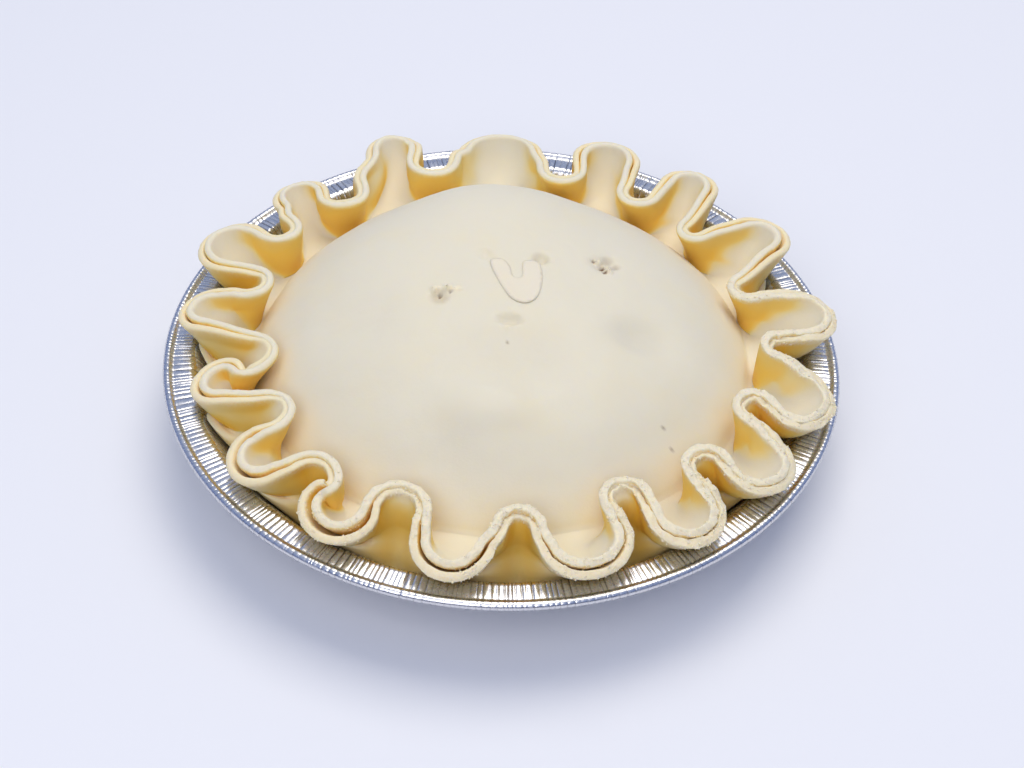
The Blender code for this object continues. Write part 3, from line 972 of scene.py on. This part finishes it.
@dataclass
class LidCrust:
    """Lid: the dome with its vents and dents, and the inner sheet of the ruffle."""

    ruffle: Ruffle
    edge: CutEdge = field(default_factory=CutEdge)
    dome_rings: tuple[tuple[float, float, float], ...] = (
        (1.0, 17.5, 1.1), (18.0, 38.0, 0.7), (38.0, 80.51, 1.0625)
    )
    hidden_rings: tuple[float, ...] = (40.0, 70.0, 80.5)
    quarter_within: float = 22.0
    half_within: float = 48.0
    edge_rings: int = 3
    levels: int = 30
    under_levels: int = 11
    waves: tuple[tuple[float, float, float], ...] = ((0.32, 19.0, 3.0), (0.06, 4.0, 11.0))
    crumb_grain: float = 1.7
    crumb_height: float = 1.5
    deepest: float = 2.1
    crumbs_from: float = 0.03
    mark_gain: float = 1.6

    def fine(self, points: np.ndarray) -> np.ndarray:
        """Small unevenness of the rolled dough at points, mm, with its dents and vents."""
        height = sum(high * rough(points, grain, 2, seed) for high, grain, seed in self.waves)
        on_dome = np.hypot(points[..., 0], points[..., 1]) < self.ruffle.dome_radius
        for dent in DENTS:
            near = dent.nearness(points) * on_dome
            here = points * (near > self.crumbs_from)[..., None]
            crumbs = rough(here, self.crumb_grain, 3, 21.0) if dent.torn else 0.0
            height = height - near * dent.deep + near * dent.torn * crumbs * self.crumb_height
        return np.maximum(height, -self.deepest)

    def marked(self, points: np.ndarray, torn: bool) -> np.ndarray:
        """How torn open, or how dark with painted shade and bran, the dough is at points, 0 to 1."""
        value = np.zeros(points.shape[:-1])
        for dent in DENTS:
            value = np.maximum(value, dent.nearness(points) * (dent.torn if torn else dent.dark))
        return np.clip(value * self.mark_gain, 0, 1)

    def build(self) -> bpy.types.Object:
        """Makes the piece."""
        ruffle = self.ruffle
        half = ruffle.lid_thickness / 2
        radii = np.concatenate([np.arange(*span) for span in self.dome_rings])
        levels = np.linspace(0, 1, self.levels)
        middle = self.joined(ruffle, radii, levels)
        middle = tear(middle, levels)
        up = upward(middle)
        top = middle + up * half
        torn_open = self.marked(top, True)
        top = top + up * self.fine(top)[..., None]
        torn = self.edge.torn(ruffle)
        floury = self.edge.floury(torn)
        shell = Shell()
        shell.add(np.array((0, 0, ruffle.dome_height(0, 0) + TIN_HEIGHT + half)))
        for index, ring in enumerate(top):
            radius = radii[index] if index < len(radii) else ruffle.valley_radius
            every = 4 if radius < self.quarter_within else 2 if radius < self.half_within else 1
            near_edge = smooth((index - len(top) + self.edge_rings) / self.edge_rings)
            shell.add(ring[::every], np.maximum(near_edge * floury, torn_open[index])[::every])
        out = onward(middle, up)
        for ring in self.edge.rings(middle[-1], up[-1], out, np.full(ruffle.count, half), torn, 5.0):
            shell.add(ring, floury)
        under_levels = np.linspace(1, 0, self.under_levels)
        hidden = ruffle.sheet(np.array(self.hidden_rings), under_levels[::-1])
        hidden = tear(hidden, under_levels[::-1])
        under = hidden - upward(hidden) * half
        for index, ring in enumerate(under[::-1]):
            every = 1 if index < self.under_levels + 1 else 4
            shell.add(ring[::every], floury[::every] if index < 2 else 0.0)
        shell.add(np.array((0, 0, ruffle.dome_height(0, 0) + TIN_HEIGHT - half)))
        data = shell.mesh("lid_sheet")
        # Bran flecks and the painted shade of the holes and dents.
        keep(data, Mark.BRAN_AND_PAINTED_SHADE.value, self.marked(np.concatenate(shell.rings), False))
        return link("lid_sheet", data)

    @staticmethod
    def joined(ruffle: Ruffle, radii: np.ndarray, levels: np.ndarray, between: int = 5) -> np.ndarray:
        """Sheet whose dome and ruffle are joined by smooth rings."""
        rings = ruffle.sheet(radii, levels)
        at = len(radii)
        before, start, end, after = rings[at - 4], rings[at - 1], rings[at], rings[at + 3]
        leave = (end - before) / 8 * 5
        arrive = (after - start) / 8 * 5
        shares = np.arange(1, between + 1) / (between + 1)
        bridge = [hermite(start, end, leave, arrive, share) for share in shares]
        return np.concatenate((rings[:at], np.array(bridge), rings[at:]))


@dataclass
class BaseCrust:
    """Bottom crust with what it holds: the outer sheet of the ruffle, and a solid down to the tin."""

    ruffle: Ruffle
    edge: CutEdge = field(default_factory=CutEdge)
    thickness: float = 2.6
    pressed: float = -0.75
    pressed_share: float = 0.9
    set_back: tuple[float, float] = (0.4, 2.2)
    foot_share: float = 0.55
    below_lid: float = 1.0
    levels: int = 24
    inner_rings: tuple[float, ...] = (40.0, 70.0, 80.5)
    gap_reach: float = 0.2
    gap_ease: float = 1.5
    shown_reach: float = 0.5
    shown_gain: float = 1.2
    back_from: float = 0.7
    back_over: float = 0.3
    foot_ease: float = 1.5
    foot_ring: int = 5
    floury_rings: int = 3
    evening: float = 0.6
    flange_radius: float = 96.0
    flange_run: float = 5.0
    flange_heights: tuple[float, float] = (-6.0, 0.35)
    lining: tuple[tuple[tuple[float, float], tuple[float, float]], ...] = (
        ((88.6, 99.9), (-10.0, -0.3)),
        ((89.6, 98.8), (-15.0, -3.2)),
    )
    contact_height: float = -17.5
    wall_heights: tuple[float, ...] = (-21.0, -26.0)
    wall_top_radius: float = 101.0
    wall_foot_radius: float = 86.0
    wall_foot_height: float = 4.0
    wall_rise: float = 25.0
    floor_radius: float = 81.0
    foil: float = 0.6
    clearance: float = 0.3

    def wall_radius(self, height: float) -> float:
        """Radius of the inside of the tin's wall at a height over the rim."""
        share = (height + TIN_HEIGHT - self.wall_foot_height) / self.wall_rise
        return lerp(self.wall_foot_radius, self.wall_top_radius, share)

    def build(self) -> bpy.types.Object:
        """Makes the piece."""
        ruffle = self.ruffle
        half = ruffle.lid_thickness / 2
        levels = np.linspace(0, 1, self.levels)
        dome = np.array(self.inner_rings)
        middle = tear(ruffle.sheet(dome, levels), levels)
        up = upward(middle)
        rise = np.concatenate((np.zeros(len(dome)), levels))
        torn = self.edge.torn(ruffle)
        gap = ruffle.spread([fold.gap - self.pressed for fold in FOLDS], self.gap_reach) + self.pressed
        off = half + lerp(self.pressed, gap[None, :], rise[:, None] ** self.gap_ease)
        inside = middle - up * off[..., None]
        shares = [min(1.0, self.shown_gain * max(fold.gap, fold.torn)) for fold in FOLDS]
        shown = ruffle.spread(shares, self.shown_reach)
        back = lerp(*self.set_back, torn) * (1 - shown)
        inside[:len(dome), :, 2] -= self.below_lid
        inside[..., 2] -= smooth((rise - self.back_from) / self.back_over)[:, None] * back[None, :]
        thick = lerp(self.pressed_share, 1.0, smooth(ruffle.share())) * self.thickness
        thick = thick[None, :] * lerp(self.foot_share, 1.0, smooth(rise * self.foot_ease))[:, None]
        outside = self.keep_off_tin(inside - up * thick[..., None])
        shell = Shell()
        shell.add(np.array((0, 0, ruffle.dome_height(0, 0) + TIN_HEIGHT - half - self.below_lid)))
        for ring in inside[:len(dome)]:
            shell.add(ring[::4])
        for ring in inside[len(dome)::2]:
            shell.add(ring)
        between = (inside + outside) / 2
        out = onward(between, up)
        wide = np.linalg.norm(inside[-1] - outside[-1], axis=1) / 2
        across = unit(inside[-1] - outside[-1])
        floury = self.edge.floury(torn)
        for ring in self.edge.rings(between[-1], across, out, wide, torn, 9.0):
            shell.add(ring, floury)
        foot = len(dome) + self.foot_ring
        for index, ring in enumerate(outside[:foot:-1]):
            shell.add(ring, smooth(1 - index / self.floury_rings) * floury)
        self.line(shell, outside[foot])
        return link("base_sheet", shell.mesh("base_sheet"))

    def keep_off_tin(self, rings: np.ndarray) -> np.ndarray:
        """Rings lifted clear of the flange where they pass over it."""
        moved = rings.copy()
        height = moved[..., 2] - TIN_HEIGHT
        radius = np.hypot(moved[..., 0], moved[..., 1])
        over = smooth((radius - self.flange_radius) / self.flange_run)
        lowest = lerp(*self.flange_heights, over)
        moved[..., 2] += np.where(height < lowest, lowest - height, 0.0)
        return moved

    def line(self, shell: Shell, last: np.ndarray) -> None:
        """Adds the rings from the foot of the ruffle down the tin's wall and across its floor."""
        share = smooth(self.ruffle.share())
        angles = np.arctan2(last[:, 1], last[:, 0])
        foot = self.ruffle.ring(0.0)
        even = np.unwrap(np.arctan2(foot[:, 1], foot[:, 0]))
        angles = lerp(np.unwrap(angles), even, self.evening)
        lip, shoulder = [
            self.around(angles, lerp(*radii, share), lerp(*heights, share))
            for radii, heights in self.lining
        ]
        contact = self.wall_ring(angles, self.contact_height)
        for ring in ((last + lip) / 2, lip, (lip + shoulder) / 2, shoulder, contact):
            shell.add(ring)
        coarse = angles[::8]
        for height in self.wall_heights:
            shell.add(self.wall_ring(coarse, height))
        bottom = self.foil + self.clearance - TIN_HEIGHT
        shell.add(self.around(coarse, self.floor_radius, np.full(len(coarse), bottom)))
        shell.add(np.array((0, 0, bottom + TIN_HEIGHT)))

    def wall_ring(self, angles: np.ndarray, height: float) -> np.ndarray:
        """Points at angles in radians just inside the tin's wall, at a height over the rim."""
        return self.around(
            angles, self.wall_radius(height) - self.clearance, np.full(len(angles), height)
        )

    @staticmethod
    def around(angles: np.ndarray, radius: Any, height: np.ndarray) -> np.ndarray:
        """Points at angles in radians, radii and heights over the rim."""
        return np.column_stack((radius * np.cos(angles), radius * np.sin(angles), height + TIN_HEIGHT))


@dataclass
class FoilTin:
    """Foil tin: a profile swept round by Geometry Nodes, with pleats on its wall and flange."""

    pleats: int = 384
    pleat_steps: int = 6
    pleat_depth: float = 0.5
    seed: int = 7
    bunching: float = 0.09
    sharpness: float = 0.22
    weakest: float = 0.2
    patchiness: float = 1.2
    evenness: float = 0.35
    pleat_middle: float = 0.8
    crease_width: float = 0.1
    noises: tuple[tuple[str, str, float], ...] = (("drift", "circle", 9.0), ("patch", "later circle", 2.2))
    noise_step: float = 3.7
    noise_gap: float = 9.1
    wall_radii: tuple[float, float] = (86.0, 101.0)
    wall_foot: float = 4.0
    flange_drop: float = 1.0
    foil: float = 0.5
    bead: float = 1.5
    bead_start: float = 165.0
    bead_turn: float = 38.0
    bead_steps: int = 9
    bead_pleat: float = 0.35

    def profile(self) -> list[tuple[float, float, float, float]]:
        """Radius and height of the profile's points, with how far a pleat moves each out and up."""
        flange = TIN_HEIGHT - self.flange_drop
        rows = [(0.0, self.foil, 0.0, 0.0), (60.0, self.foil, 0.0, 0.0), (80.4, self.foil, 0.0, 0.0)]
        rows += [(83.4, 1.7, 0.2, 0.1), (86.0, 4.0, 0.8, 0.3)]
        for share in (0.2, 0.4, 0.6, 0.8, 0.93):
            radius, height = lerp(*self.wall_radii, share), lerp(self.wall_foot, flange, share)
            rows.append((radius, height, 1.0, -0.5))
        rows.append((101.3, flange, 0.3, 0.6))
        rows += [(radius, flange, 0.0, 1.0) for radius in (102.6, 104.4, 106.2)]
        rows.append((107.2, flange - 0.1, 0.0, 0.7))
        centre = (RIM_RADIUS - 0.05 - self.bead, TIN_HEIGHT - 0.03 - self.bead)
        for step in range(self.bead_steps):
            turn = math.radians(self.bead_start - step * self.bead_turn)
            roll = (self.bead_pleat * math.cos(turn), self.bead_pleat * math.sin(turn))
            ahead, above = self.bead * math.cos(turn), self.bead * math.sin(turn)
            rows.append((centre[0] + ahead, centre[1] + above, *roll))
        rows += [(105.0, flange - self.foil, 0.0, 1.0), (101.8, flange - self.foil, 0.3, 0.6)]
        for share in (0.9, 0.6, 0.3):
            radius, height = lerp(*self.wall_radii, share), lerp(self.wall_foot, flange, share)
            rows.append((radius + self.foil, height - self.foil / 2, 1.0, -0.5))
        rows += [(86.4, 3.6, 0.6, 0.2), (83.6, 1.2, 0.2, 0.1), (81.0, 0.0, 0.0, 0.0), (0.0, 0.0, 0.0, 0.0)]
        return rows

    def build(self) -> bpy.types.Object:
        """Makes the piece."""
        rows = self.profile()
        points = np.array([(radius, 0, height) for radius, height, _, _ in rows])
        made = link("tin_foil", new_mesh("tin_profile", points, []))
        for name, column in (("fold_out", 2), ("fold_up", 3)):
            keep(made.data, name, [row[column] for row in rows])
        grow(made, *self.tree(len(rows)))
        made.data.shade_smooth()
        return made

    def tree(self, rows: int) -> tuple[bpy.types.NodeTree, dict[str, Any]]:
        """Builds the sweep of so many rows, and its input values by socket identifier."""
        tree, given, values = new_group("pleated_sweep", {
            "Pleats": ("NodeSocketInt", self.pleats),
            "Steps": ("NodeSocketInt", self.pleat_steps),
            "Rows": ("NodeSocketInt", rows),
            "Pleat Depth": ("NodeSocketFloat", self.pleat_depth * MM),
            "Seed": ("NodeSocketInt", self.seed),
            "Foil": ("NodeSocketMaterial", PleatedFoil().material()),
        })
        known = dict(given)
        known["index"] = add_node(tree, "GeometryNodeInputIndex").outputs[0]
        add_table(tree, known, (
            ("columns", MATH, "MULTIPLY", "Pleats", "Steps"),
            ("points x", MATH, "ADD", "columns", 1),
            ("half on", MATH, "ADD", "index", 0.5),
            ("place", MATH, "DIVIDE", "half on", "Rows"),
            ("column", MATH, "FLOOR", "place"),
            ("before", MATH, "MULTIPLY", "column", "Rows"),
            ("row", MATH, "SUBTRACT", "index", "before"),
            ("share", MATH, "DIVIDE", "column", "columns"),
            ("even angle", MATH, "MULTIPLY", "share", 2 * math.pi),
            ("even cosine", MATH, "COSINE", "even angle"),
            ("even sine", MATH, "SINE", "even angle"),
            ("shift", MATH, "MULTIPLY", "Seed", self.noise_step),
            ("later shift", MATH, "ADD", "shift", self.noise_gap),
            ("circle", "ShaderNodeCombineXYZ", None, "even cosine", "even sine", "shift"),
            ("later circle", "ShaderNodeCombineXYZ", None, "even cosine", "even sine", "later shift"),
        ))
        for name, circle, scale in self.noises:
            known[name] = add_node(
                tree, "ShaderNodeTexNoise", {"Vector": known[circle], "Scale": scale, "Detail": 2.0}
            ).outputs["Fac"]
        add_table(tree, known, (
            ("warp", MATH, "MULTIPLY_ADD", "drift", self.bunching, "even angle"),
            ("cosine", MATH, "COSINE", "warp"),
            ("sine", MATH, "SINE", "warp"),
            ("number", MATH, "DIVIDE", "column", "Steps"),
            ("pleat", MATH, "FLOOR", "number"),
            ("inside", MATH, "FRACT", "number"),
            ("double", MATH, "MULTIPLY", "inside", 2),
            ("ridge", MATH, "PINGPONG", "double", 1),
            ("round", MATH, "POWER", "ridge", self.sharpness),
            ("wave", MATH, "SUBTRACT", "round", self.pleat_middle),
            ("valley", MATH, "LESS_THAN", "ridge", self.crease_width),
        ))
        known["pick"] = add_node(
            tree, "FunctionNodeRandomValue",
            {2: self.weakest, 3: 1.0, "ID": known["pleat"], "Seed": known["Seed"]}, data_type="FLOAT",
        ).outputs[1]
        place = add_node(tree, "GeometryNodeInputPosition").outputs[0]
        sampled = add_node(
            tree, "GeometryNodeSampleIndex",
            {"Geometry": given["Geometry"], "Value": place, "Index": known["row"]},
            data_type="FLOAT_VECTOR",
        ).outputs["Value"]
        profile = add_node(tree, "ShaderNodeSeparateXYZ", {0: sampled}).outputs
        known["profile radius"] = profile["X"]
        known["profile height"] = profile["Z"]
        for name in ("fold_out", "fold_up"):
            read = add_node(
                tree, "GeometryNodeInputNamedAttribute", {"Name": name}, data_type="FLOAT"
            ).outputs["Attribute"]
            known[name] = add_node(
                tree, "GeometryNodeSampleIndex",
                {"Geometry": given["Geometry"], "Value": read, "Index": known["row"]}, data_type="FLOAT",
            ).outputs["Value"]
        add_table(tree, known, (
            ("uneven", MATH, "MULTIPLY_ADD", "patch", self.patchiness, self.evenness),
            ("strength", MATH, "MULTIPLY", "pick", "uneven"),
            ("shape", MATH, "MULTIPLY", "wave", "strength"),
            ("push", MATH, "MULTIPLY", "shape", "Pleat Depth"),
            ("radius", MATH, "MULTIPLY_ADD", "push", "fold_out", "profile radius"),
            ("height", MATH, "MULTIPLY_ADD", "push", "fold_up", "profile height"),
            ("x", MATH, "MULTIPLY", "radius", "cosine"),
            ("y", MATH, "MULTIPLY", "radius", "sine"),
            ("pleated", MATH, "ADD", "fold_out", "fold_up"),
            ("pleated here", MATH, "ABSOLUTE", "pleated"),
            # Painted shade: the pleats' creases are darkened, more where a pleat is strong.
            ("dark", MATH, "MULTIPLY", "valley", "strength"),
            ("dark here", MATH, "MULTIPLY", "dark", "pleated here"),
            ("final", "ShaderNodeCombineXYZ", None, "x", "y", "height"),
        ))
        grid = add_node(
            tree, "GeometryNodeMeshGrid", {"Vertices X": known["points x"], "Vertices Y": known["Rows"]}
        ).outputs["Mesh"]
        # Keeps the painted crease shade for the foil's colour.
        kept = add_node(
            tree, "GeometryNodeStoreNamedAttribute",
            {"Geometry": grid, "Name": Mark.CREASE.value, "Value": known["dark here"]}, data_type="FLOAT",
        ).outputs[0]
        shaped = add_node(
            tree, "GeometryNodeSetPosition", {"Geometry": kept, "Position": known["final"]}
        ).outputs[0]
        closed = add_node(
            tree, "GeometryNodeMergeByDistance", {"Geometry": shaped, "Distance": 0.001 * MM}
        ).outputs[0]
        end_group(tree, closed, given["Foil"])
        return tree, values


@dataclass
class Crumbs:
    """Crumbs and flour that cling to the cut edges, scattered by Geometry Nodes."""

    smallest: float = 0.14
    largest: float = 0.6
    density: float = 0.7
    from_cut: float = 0.6
    patch_mm: float = 9.0
    skew: float = 2.2
    seed: int = 3
    draws: tuple[int, int, int] = (11, 23, 37)

    def build(self, name: str, dough: bpy.types.Object, finish: bpy.types.Material) -> bpy.types.Object:
        """Makes the crumbs of one piece of dough.

        Args:
            name: Name of the piece that the crumbs are.
            dough: Piece that they cling to.
            finish: Material of the crumbs.

        Returns:
            The crumbs.
        """
        made = link(name, dough.data.copy())
        grow(made, *self.tree(finish))
        return made

    def tree(self, finish: bpy.types.Material) -> tuple[bpy.types.NodeTree, dict[str, Any]]:
        """Builds the scatter, and its input values by socket identifier."""
        tree, given, values = new_group("crumb_scatter", {
            "Density": ("NodeSocketFloat", self.density / (MM * MM)),
            "Smallest": ("NodeSocketFloat", self.smallest * MM),
            "Largest": ("NodeSocketFloat", self.largest * MM),
            "Seed": ("NodeSocketInt", self.seed),
            "Dough": ("NodeSocketMaterial", finish),
        })
        cut = add_node(
            tree, "GeometryNodeInputNamedAttribute", {"Name": Mark.CUT.value}, data_type="FLOAT"
        ).outputs["Attribute"]
        patch = add_node(
            tree, "ShaderNodeTexNoise", {"Scale": 1 / (self.patch_mm * MM), "Detail": 2.0}
        ).outputs["Fac"]
        richer = add_node(
            tree, "ShaderNodeMapRange", {"Value": patch, "From Min": 0.4, "From Max": 0.65}
        ).outputs[0]
        known = {"cut": cut, "richer": richer, **given}
        add_table(tree, known, (
            ("chosen", MATH, "GREATER_THAN", "cut", self.from_cut),
            ("dense", MATH, "MULTIPLY", "richer", "Density"),
        ))
        points = add_node(
            tree, "GeometryNodeDistributePointsOnFaces",
            {
                "Mesh": given["Geometry"], "Selection": known["chosen"], "Density": known["dense"],
                "Seed": given["Seed"],
            },
        ).outputs["Points"]
        lump = add_node(
            tree, "GeometryNodeMeshIcoSphere", {"Radius": 1.0, "Subdivisions": 1}
        ).outputs["Mesh"]
        sizes = []
        for shift in self.draws:
            add_table(tree, known, (("own seed", MATH, "ADD", "Seed", shift),))
            known["draw"] = add_node(
                tree, "FunctionNodeRandomValue", {2: 0.0, 3: 1.0, "Seed": known["own seed"]},
                data_type="FLOAT",
            ).outputs[1]
            add_table(tree, known, (("skewed", MATH, "POWER", "draw", self.skew),))
            sizes.append(add_node(
                tree, "ShaderNodeMapRange",
                {"Value": known["skewed"], "To Min": given["Smallest"], "To Max": given["Largest"]},
            ).outputs[0])
        scale = add_node(tree, "ShaderNodeCombineXYZ", dict(enumerate(sizes))).outputs[0]
        turn = add_node(
            tree, "FunctionNodeRandomValue",
            {0: (0.0, 0.0, 0.0), 1: (6.28, 6.28, 6.28), "Seed": given["Seed"]},
            data_type="FLOAT_VECTOR",
        ).outputs[0]
        placed = add_node(
            tree, "GeometryNodeInstanceOnPoints",
            {"Points": points, "Instance": lump, "Rotation": turn, "Scale": scale},
        ).outputs[0]
        end_group(tree, placed, given["Dough"])
        return tree, values


@dataclass
class DoughHeart:
    """Small heart cut from thin dough, lying on the lid and following its curve."""

    ruffle: Ruffle
    thickness: float = 0.6
    centre: tuple[float, float] = (3.5, 0.5)
    steps: int = 6
    spacing: float = 0.8
    half_side: float = 11.0
    edge_share: float = 0.45
    edge_width: float = 0.9
    sunk: float = 0.1
    clear_share: float = 0.6
    outline: tuple[tuple[float, float], ...] = (
        (-8.5, 8.0), (-6.8, 2.6), (-4.2, -3.3), (-1.3, -8.1), (2.0, -9.9), (4.8, -9.4),
        (7.3, -6.3), (8.6, 0.8), (8.1, 7.4), (6.3, 10.0), (3.6, 10.0), (2.0, 8.4),
        (1.9, 2.6), (0.5, 1.5), (-1.0, 2.4), (-2.1, 6.8), (-4.6, 9.9), (-7.5, 9.9),
    )

    def curve(self) -> np.ndarray:
        """Smooth closed outline, mm from the heart's middle."""
        corners = np.array(self.outline)
        slopes = (np.roll(corners, -1, axis=0) - np.roll(corners, 1, axis=0)) / 2
        after, after_slopes = np.roll(corners, -1, axis=0), np.roll(slopes, -1, axis=0)
        points = [
            hermite(corners, after, slopes, after_slopes, step / self.steps) for step in range(self.steps)
        ]
        return np.stack(points, axis=1).reshape(-1, 2)

    def build(self) -> bpy.types.Object:
        """Makes the piece."""
        curve = self.curve()
        count = len(curve)
        grid = np.arange(-self.half_side, self.half_side + 0.1, self.spacing)
        inner = np.array([(x, y) for x in grid for y in grid])
        gap = np.min(np.linalg.norm(inner[:, None] - curve[None], axis=2), axis=1)
        inner = inner[gap > self.spacing * self.clear_share]
        flat = [Vector(point) for point in np.concatenate((curve, inner)).tolist()]
        ring = [(index, (index + 1) % count) for index in range(count)]
        points, _, faces, origins, _, _ = geometry.delaunay_2d_cdt(flat, ring, [], 1, 1e-5)
        flat_points = np.array([tuple(point) for point in points])
        edge = np.array([bool(origin) and min(origin) < count for origin in origins])
        far = np.min(np.linalg.norm(flat_points[:, None] - curve[None], axis=2), axis=1)
        far[edge] = 0.0
        place = flat_points + self.centre
        floor = self.ruffle.dome_height(*place.T) + TIN_HEIGHT + self.ruffle.lid_thickness / 2
        lift = self.thickness * lerp(self.edge_share, 1.0, smooth(far / self.edge_width))
        top = np.column_stack((place, floor + lift))
        low = np.column_stack((place, floor - self.sunk))
        total = len(place)
        solid = [tuple(face) for face in faces]
        solid += [tuple(total + corner for corner in face[::-1]) for face in faces]
        sides = dict.fromkeys(pair for face in faces for pair in zip(face, face[1:] + face[:1]))
        for one, other in sides:
            if (other, one) not in sides:
                solid.append((one, total + one, total + other, other))
        return link("cut_heart", new_mesh("cut_heart", np.concatenate((top, low)), solid))


@dataclass
class PaintedFoldShade:
    """Painted fold shade: how deep in a fold each point of a dough piece lies, found by looking out from
    it.
    """

    rays: int = 30
    reach: float = 26.0
    lift: float = 0.35
    painted_wall_shade: float = 0.07
    passes: int = 8
    wall_gain: float = 1.6
    crest_gain: float = 1.2

    def directions(self) -> np.ndarray:
        """Directions spread over a half sphere about +Z, more of them near its middle."""
        number = np.arange(self.rays) + 0.5
        height = np.sqrt(1 - number / self.rays)
        turn = number * math.pi * (3 - math.sqrt(5))
        flat = np.sqrt(1 - height * height)
        return np.column_stack((flat * np.cos(turn), flat * np.sin(turn), height))

    def smoothed(self, data: bpy.types.Mesh, value: np.ndarray) -> np.ndarray:
        """Averages each point's value with those of the points beside it, several times."""
        ends = np.zeros(len(data.edges) * 2, dtype=int)
        data.edges.foreach_get("vertices", ends)
        first, second = ends.reshape(-1, 2).T
        count = len(value)
        beside = np.maximum(np.bincount(ends, minlength=count), 1)
        for _ in range(self.passes):
            near = np.bincount(first, value[second], count) + np.bincount(second, value[first], count)
            value = (value + near / beside) / 2
        return value

    def mark(self, pieces: list[bpy.types.Object], around: list[bpy.types.Object]) -> None:
        """Writes the painted fold shade on pieces, which with others around them take the light."""
        points: list[Any] = []
        faces: list[Any] = []
        for piece in pieces + around:
            shift = len(points)
            points += [tuple(vertex.co) for vertex in piece.data.vertices]
            faces += [[shift + corner for corner in face.vertices] for face in piece.data.polygons]
        tree = BVHTree.FromPolygons(points, faces)
        rays = self.directions()
        for piece in pieces:
            data = piece.data
            count = len(data.vertices)
            spots = np.zeros(count * 3)
            ups = np.zeros(count * 3)
            data.vertices.foreach_get("co", spots)
            data.vertices.foreach_get("normal", ups)
            spots, ups = spots.reshape(-1, 3), ups.reshape(-1, 3)
            side = unit(np.cross(ups, np.where(np.abs(ups[:, 2:]) < 0.9, (0, 0, 1.0), (1.0, 0, 0))))
            other = np.cross(ups, side)
            value = np.zeros(count)
            for index in range(count):
                basis = (side[index], other[index], ups[index])
                start = Vector(spots[index] + ups[index] * self.lift * MM)
                total = 0.0
                for way in (rays @ basis).tolist():
                    hit = tree.ray_cast(start, way, self.reach * MM)[3]
                    if hit is not None:
                        total += 1 - hit / (self.reach * MM)
                value[index] = total / self.rays
            # Painted light and shade: faces that look up are kept pale as if lit, and steep walls get a
            # little more painted shade.
            steep = 1 - smooth(np.abs(ups[:, 2]) * self.wall_gain)
            value *= 1 - smooth(ups[:, 2] * self.wall_gain)
            value = self.smoothed(data, value + steep * self.painted_wall_shade)
            value *= 1 - smooth(ups[:, 2] * self.crest_gain)
            keep(data, Mark.PAINTED_FOLD_SHADE.value, value)
            log.info("fold shade of %s: up to %.2f", piece.name, value.max())


# Each dough's tints run from its own pale colour to the golden and orange of painted fold shade.
LID_DOUGH = RawShortcrust("lid_shortcrust", ("#E7DFC7", "#F0DFA9", "#F5D780", "#F8CD5E"), "#F7E9C8")
# The base's tints are more golden than the lid's: painted shade, for its outer walls, which stand in shade
# and glow golden.
BASE_DOUGH = RawShortcrust("base_shortcrust", ("#F0E0B6", "#F2D992", "#F4CF6A", "#F4C246"), "#F3E5C6")
HEART_DOUGH = RawShortcrust(
    "heart_shortcrust", ("#EBE1C9", "#F1E0B6", "#F2D898", "#F0CB72"), "#F3EAD4", depth_mm=0.25
)
CRUMB_DOUGH = RawShortcrust(
    "crumb_shortcrust", ("#F7E9C8", "#F7E4B6", "#F4DEA6", "#F2D28C"), "#F8ECD0", depth_mm=0.05
)


def main() -> None:
    """Builds the studio and the pie, piece by piece."""
    logging.basicConfig(level=logging.INFO, format="%(message)s")
    Studio().build()
    ruffle = Ruffle()
    lid = LidCrust(ruffle).build()
    base = BaseCrust(ruffle).build()
    heart = DoughHeart(ruffle).build()
    tin = FoilTin().build()
    PaintedFoldShade().mark([lid, base], [heart])
    crumb = CRUMB_DOUGH.material()
    lid_crumbs = Crumbs().build("lid_crumbs", lid, crumb)
    base_crumbs = Crumbs(seed=8).build("base_crumbs", base, crumb)
    plan = (
        (lid_crumbs, "lid_crust", "lid_dough", None),
        (base_crumbs, "base_crust", "base_dough", None),
        (lid, "lid_crust", "lid_dough", LID_DOUGH),
        (base, "base_crust", "base_dough", BASE_DOUGH),
        (heart, "dough_heart", "heart_dough", HEART_DOUGH),
        (tin, "foil_tin", "foil", None),
    )
    for piece, node, slot, dough in plan:
        if dough:
            piece.data.materials.append(dough.material())
        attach(piece, "root")
        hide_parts(node)
        log.info("%s: %d points, %d faces", piece.name, len(piece.data.vertices), len(piece.data.polygons))


if __name__ == "__main__":
    main()
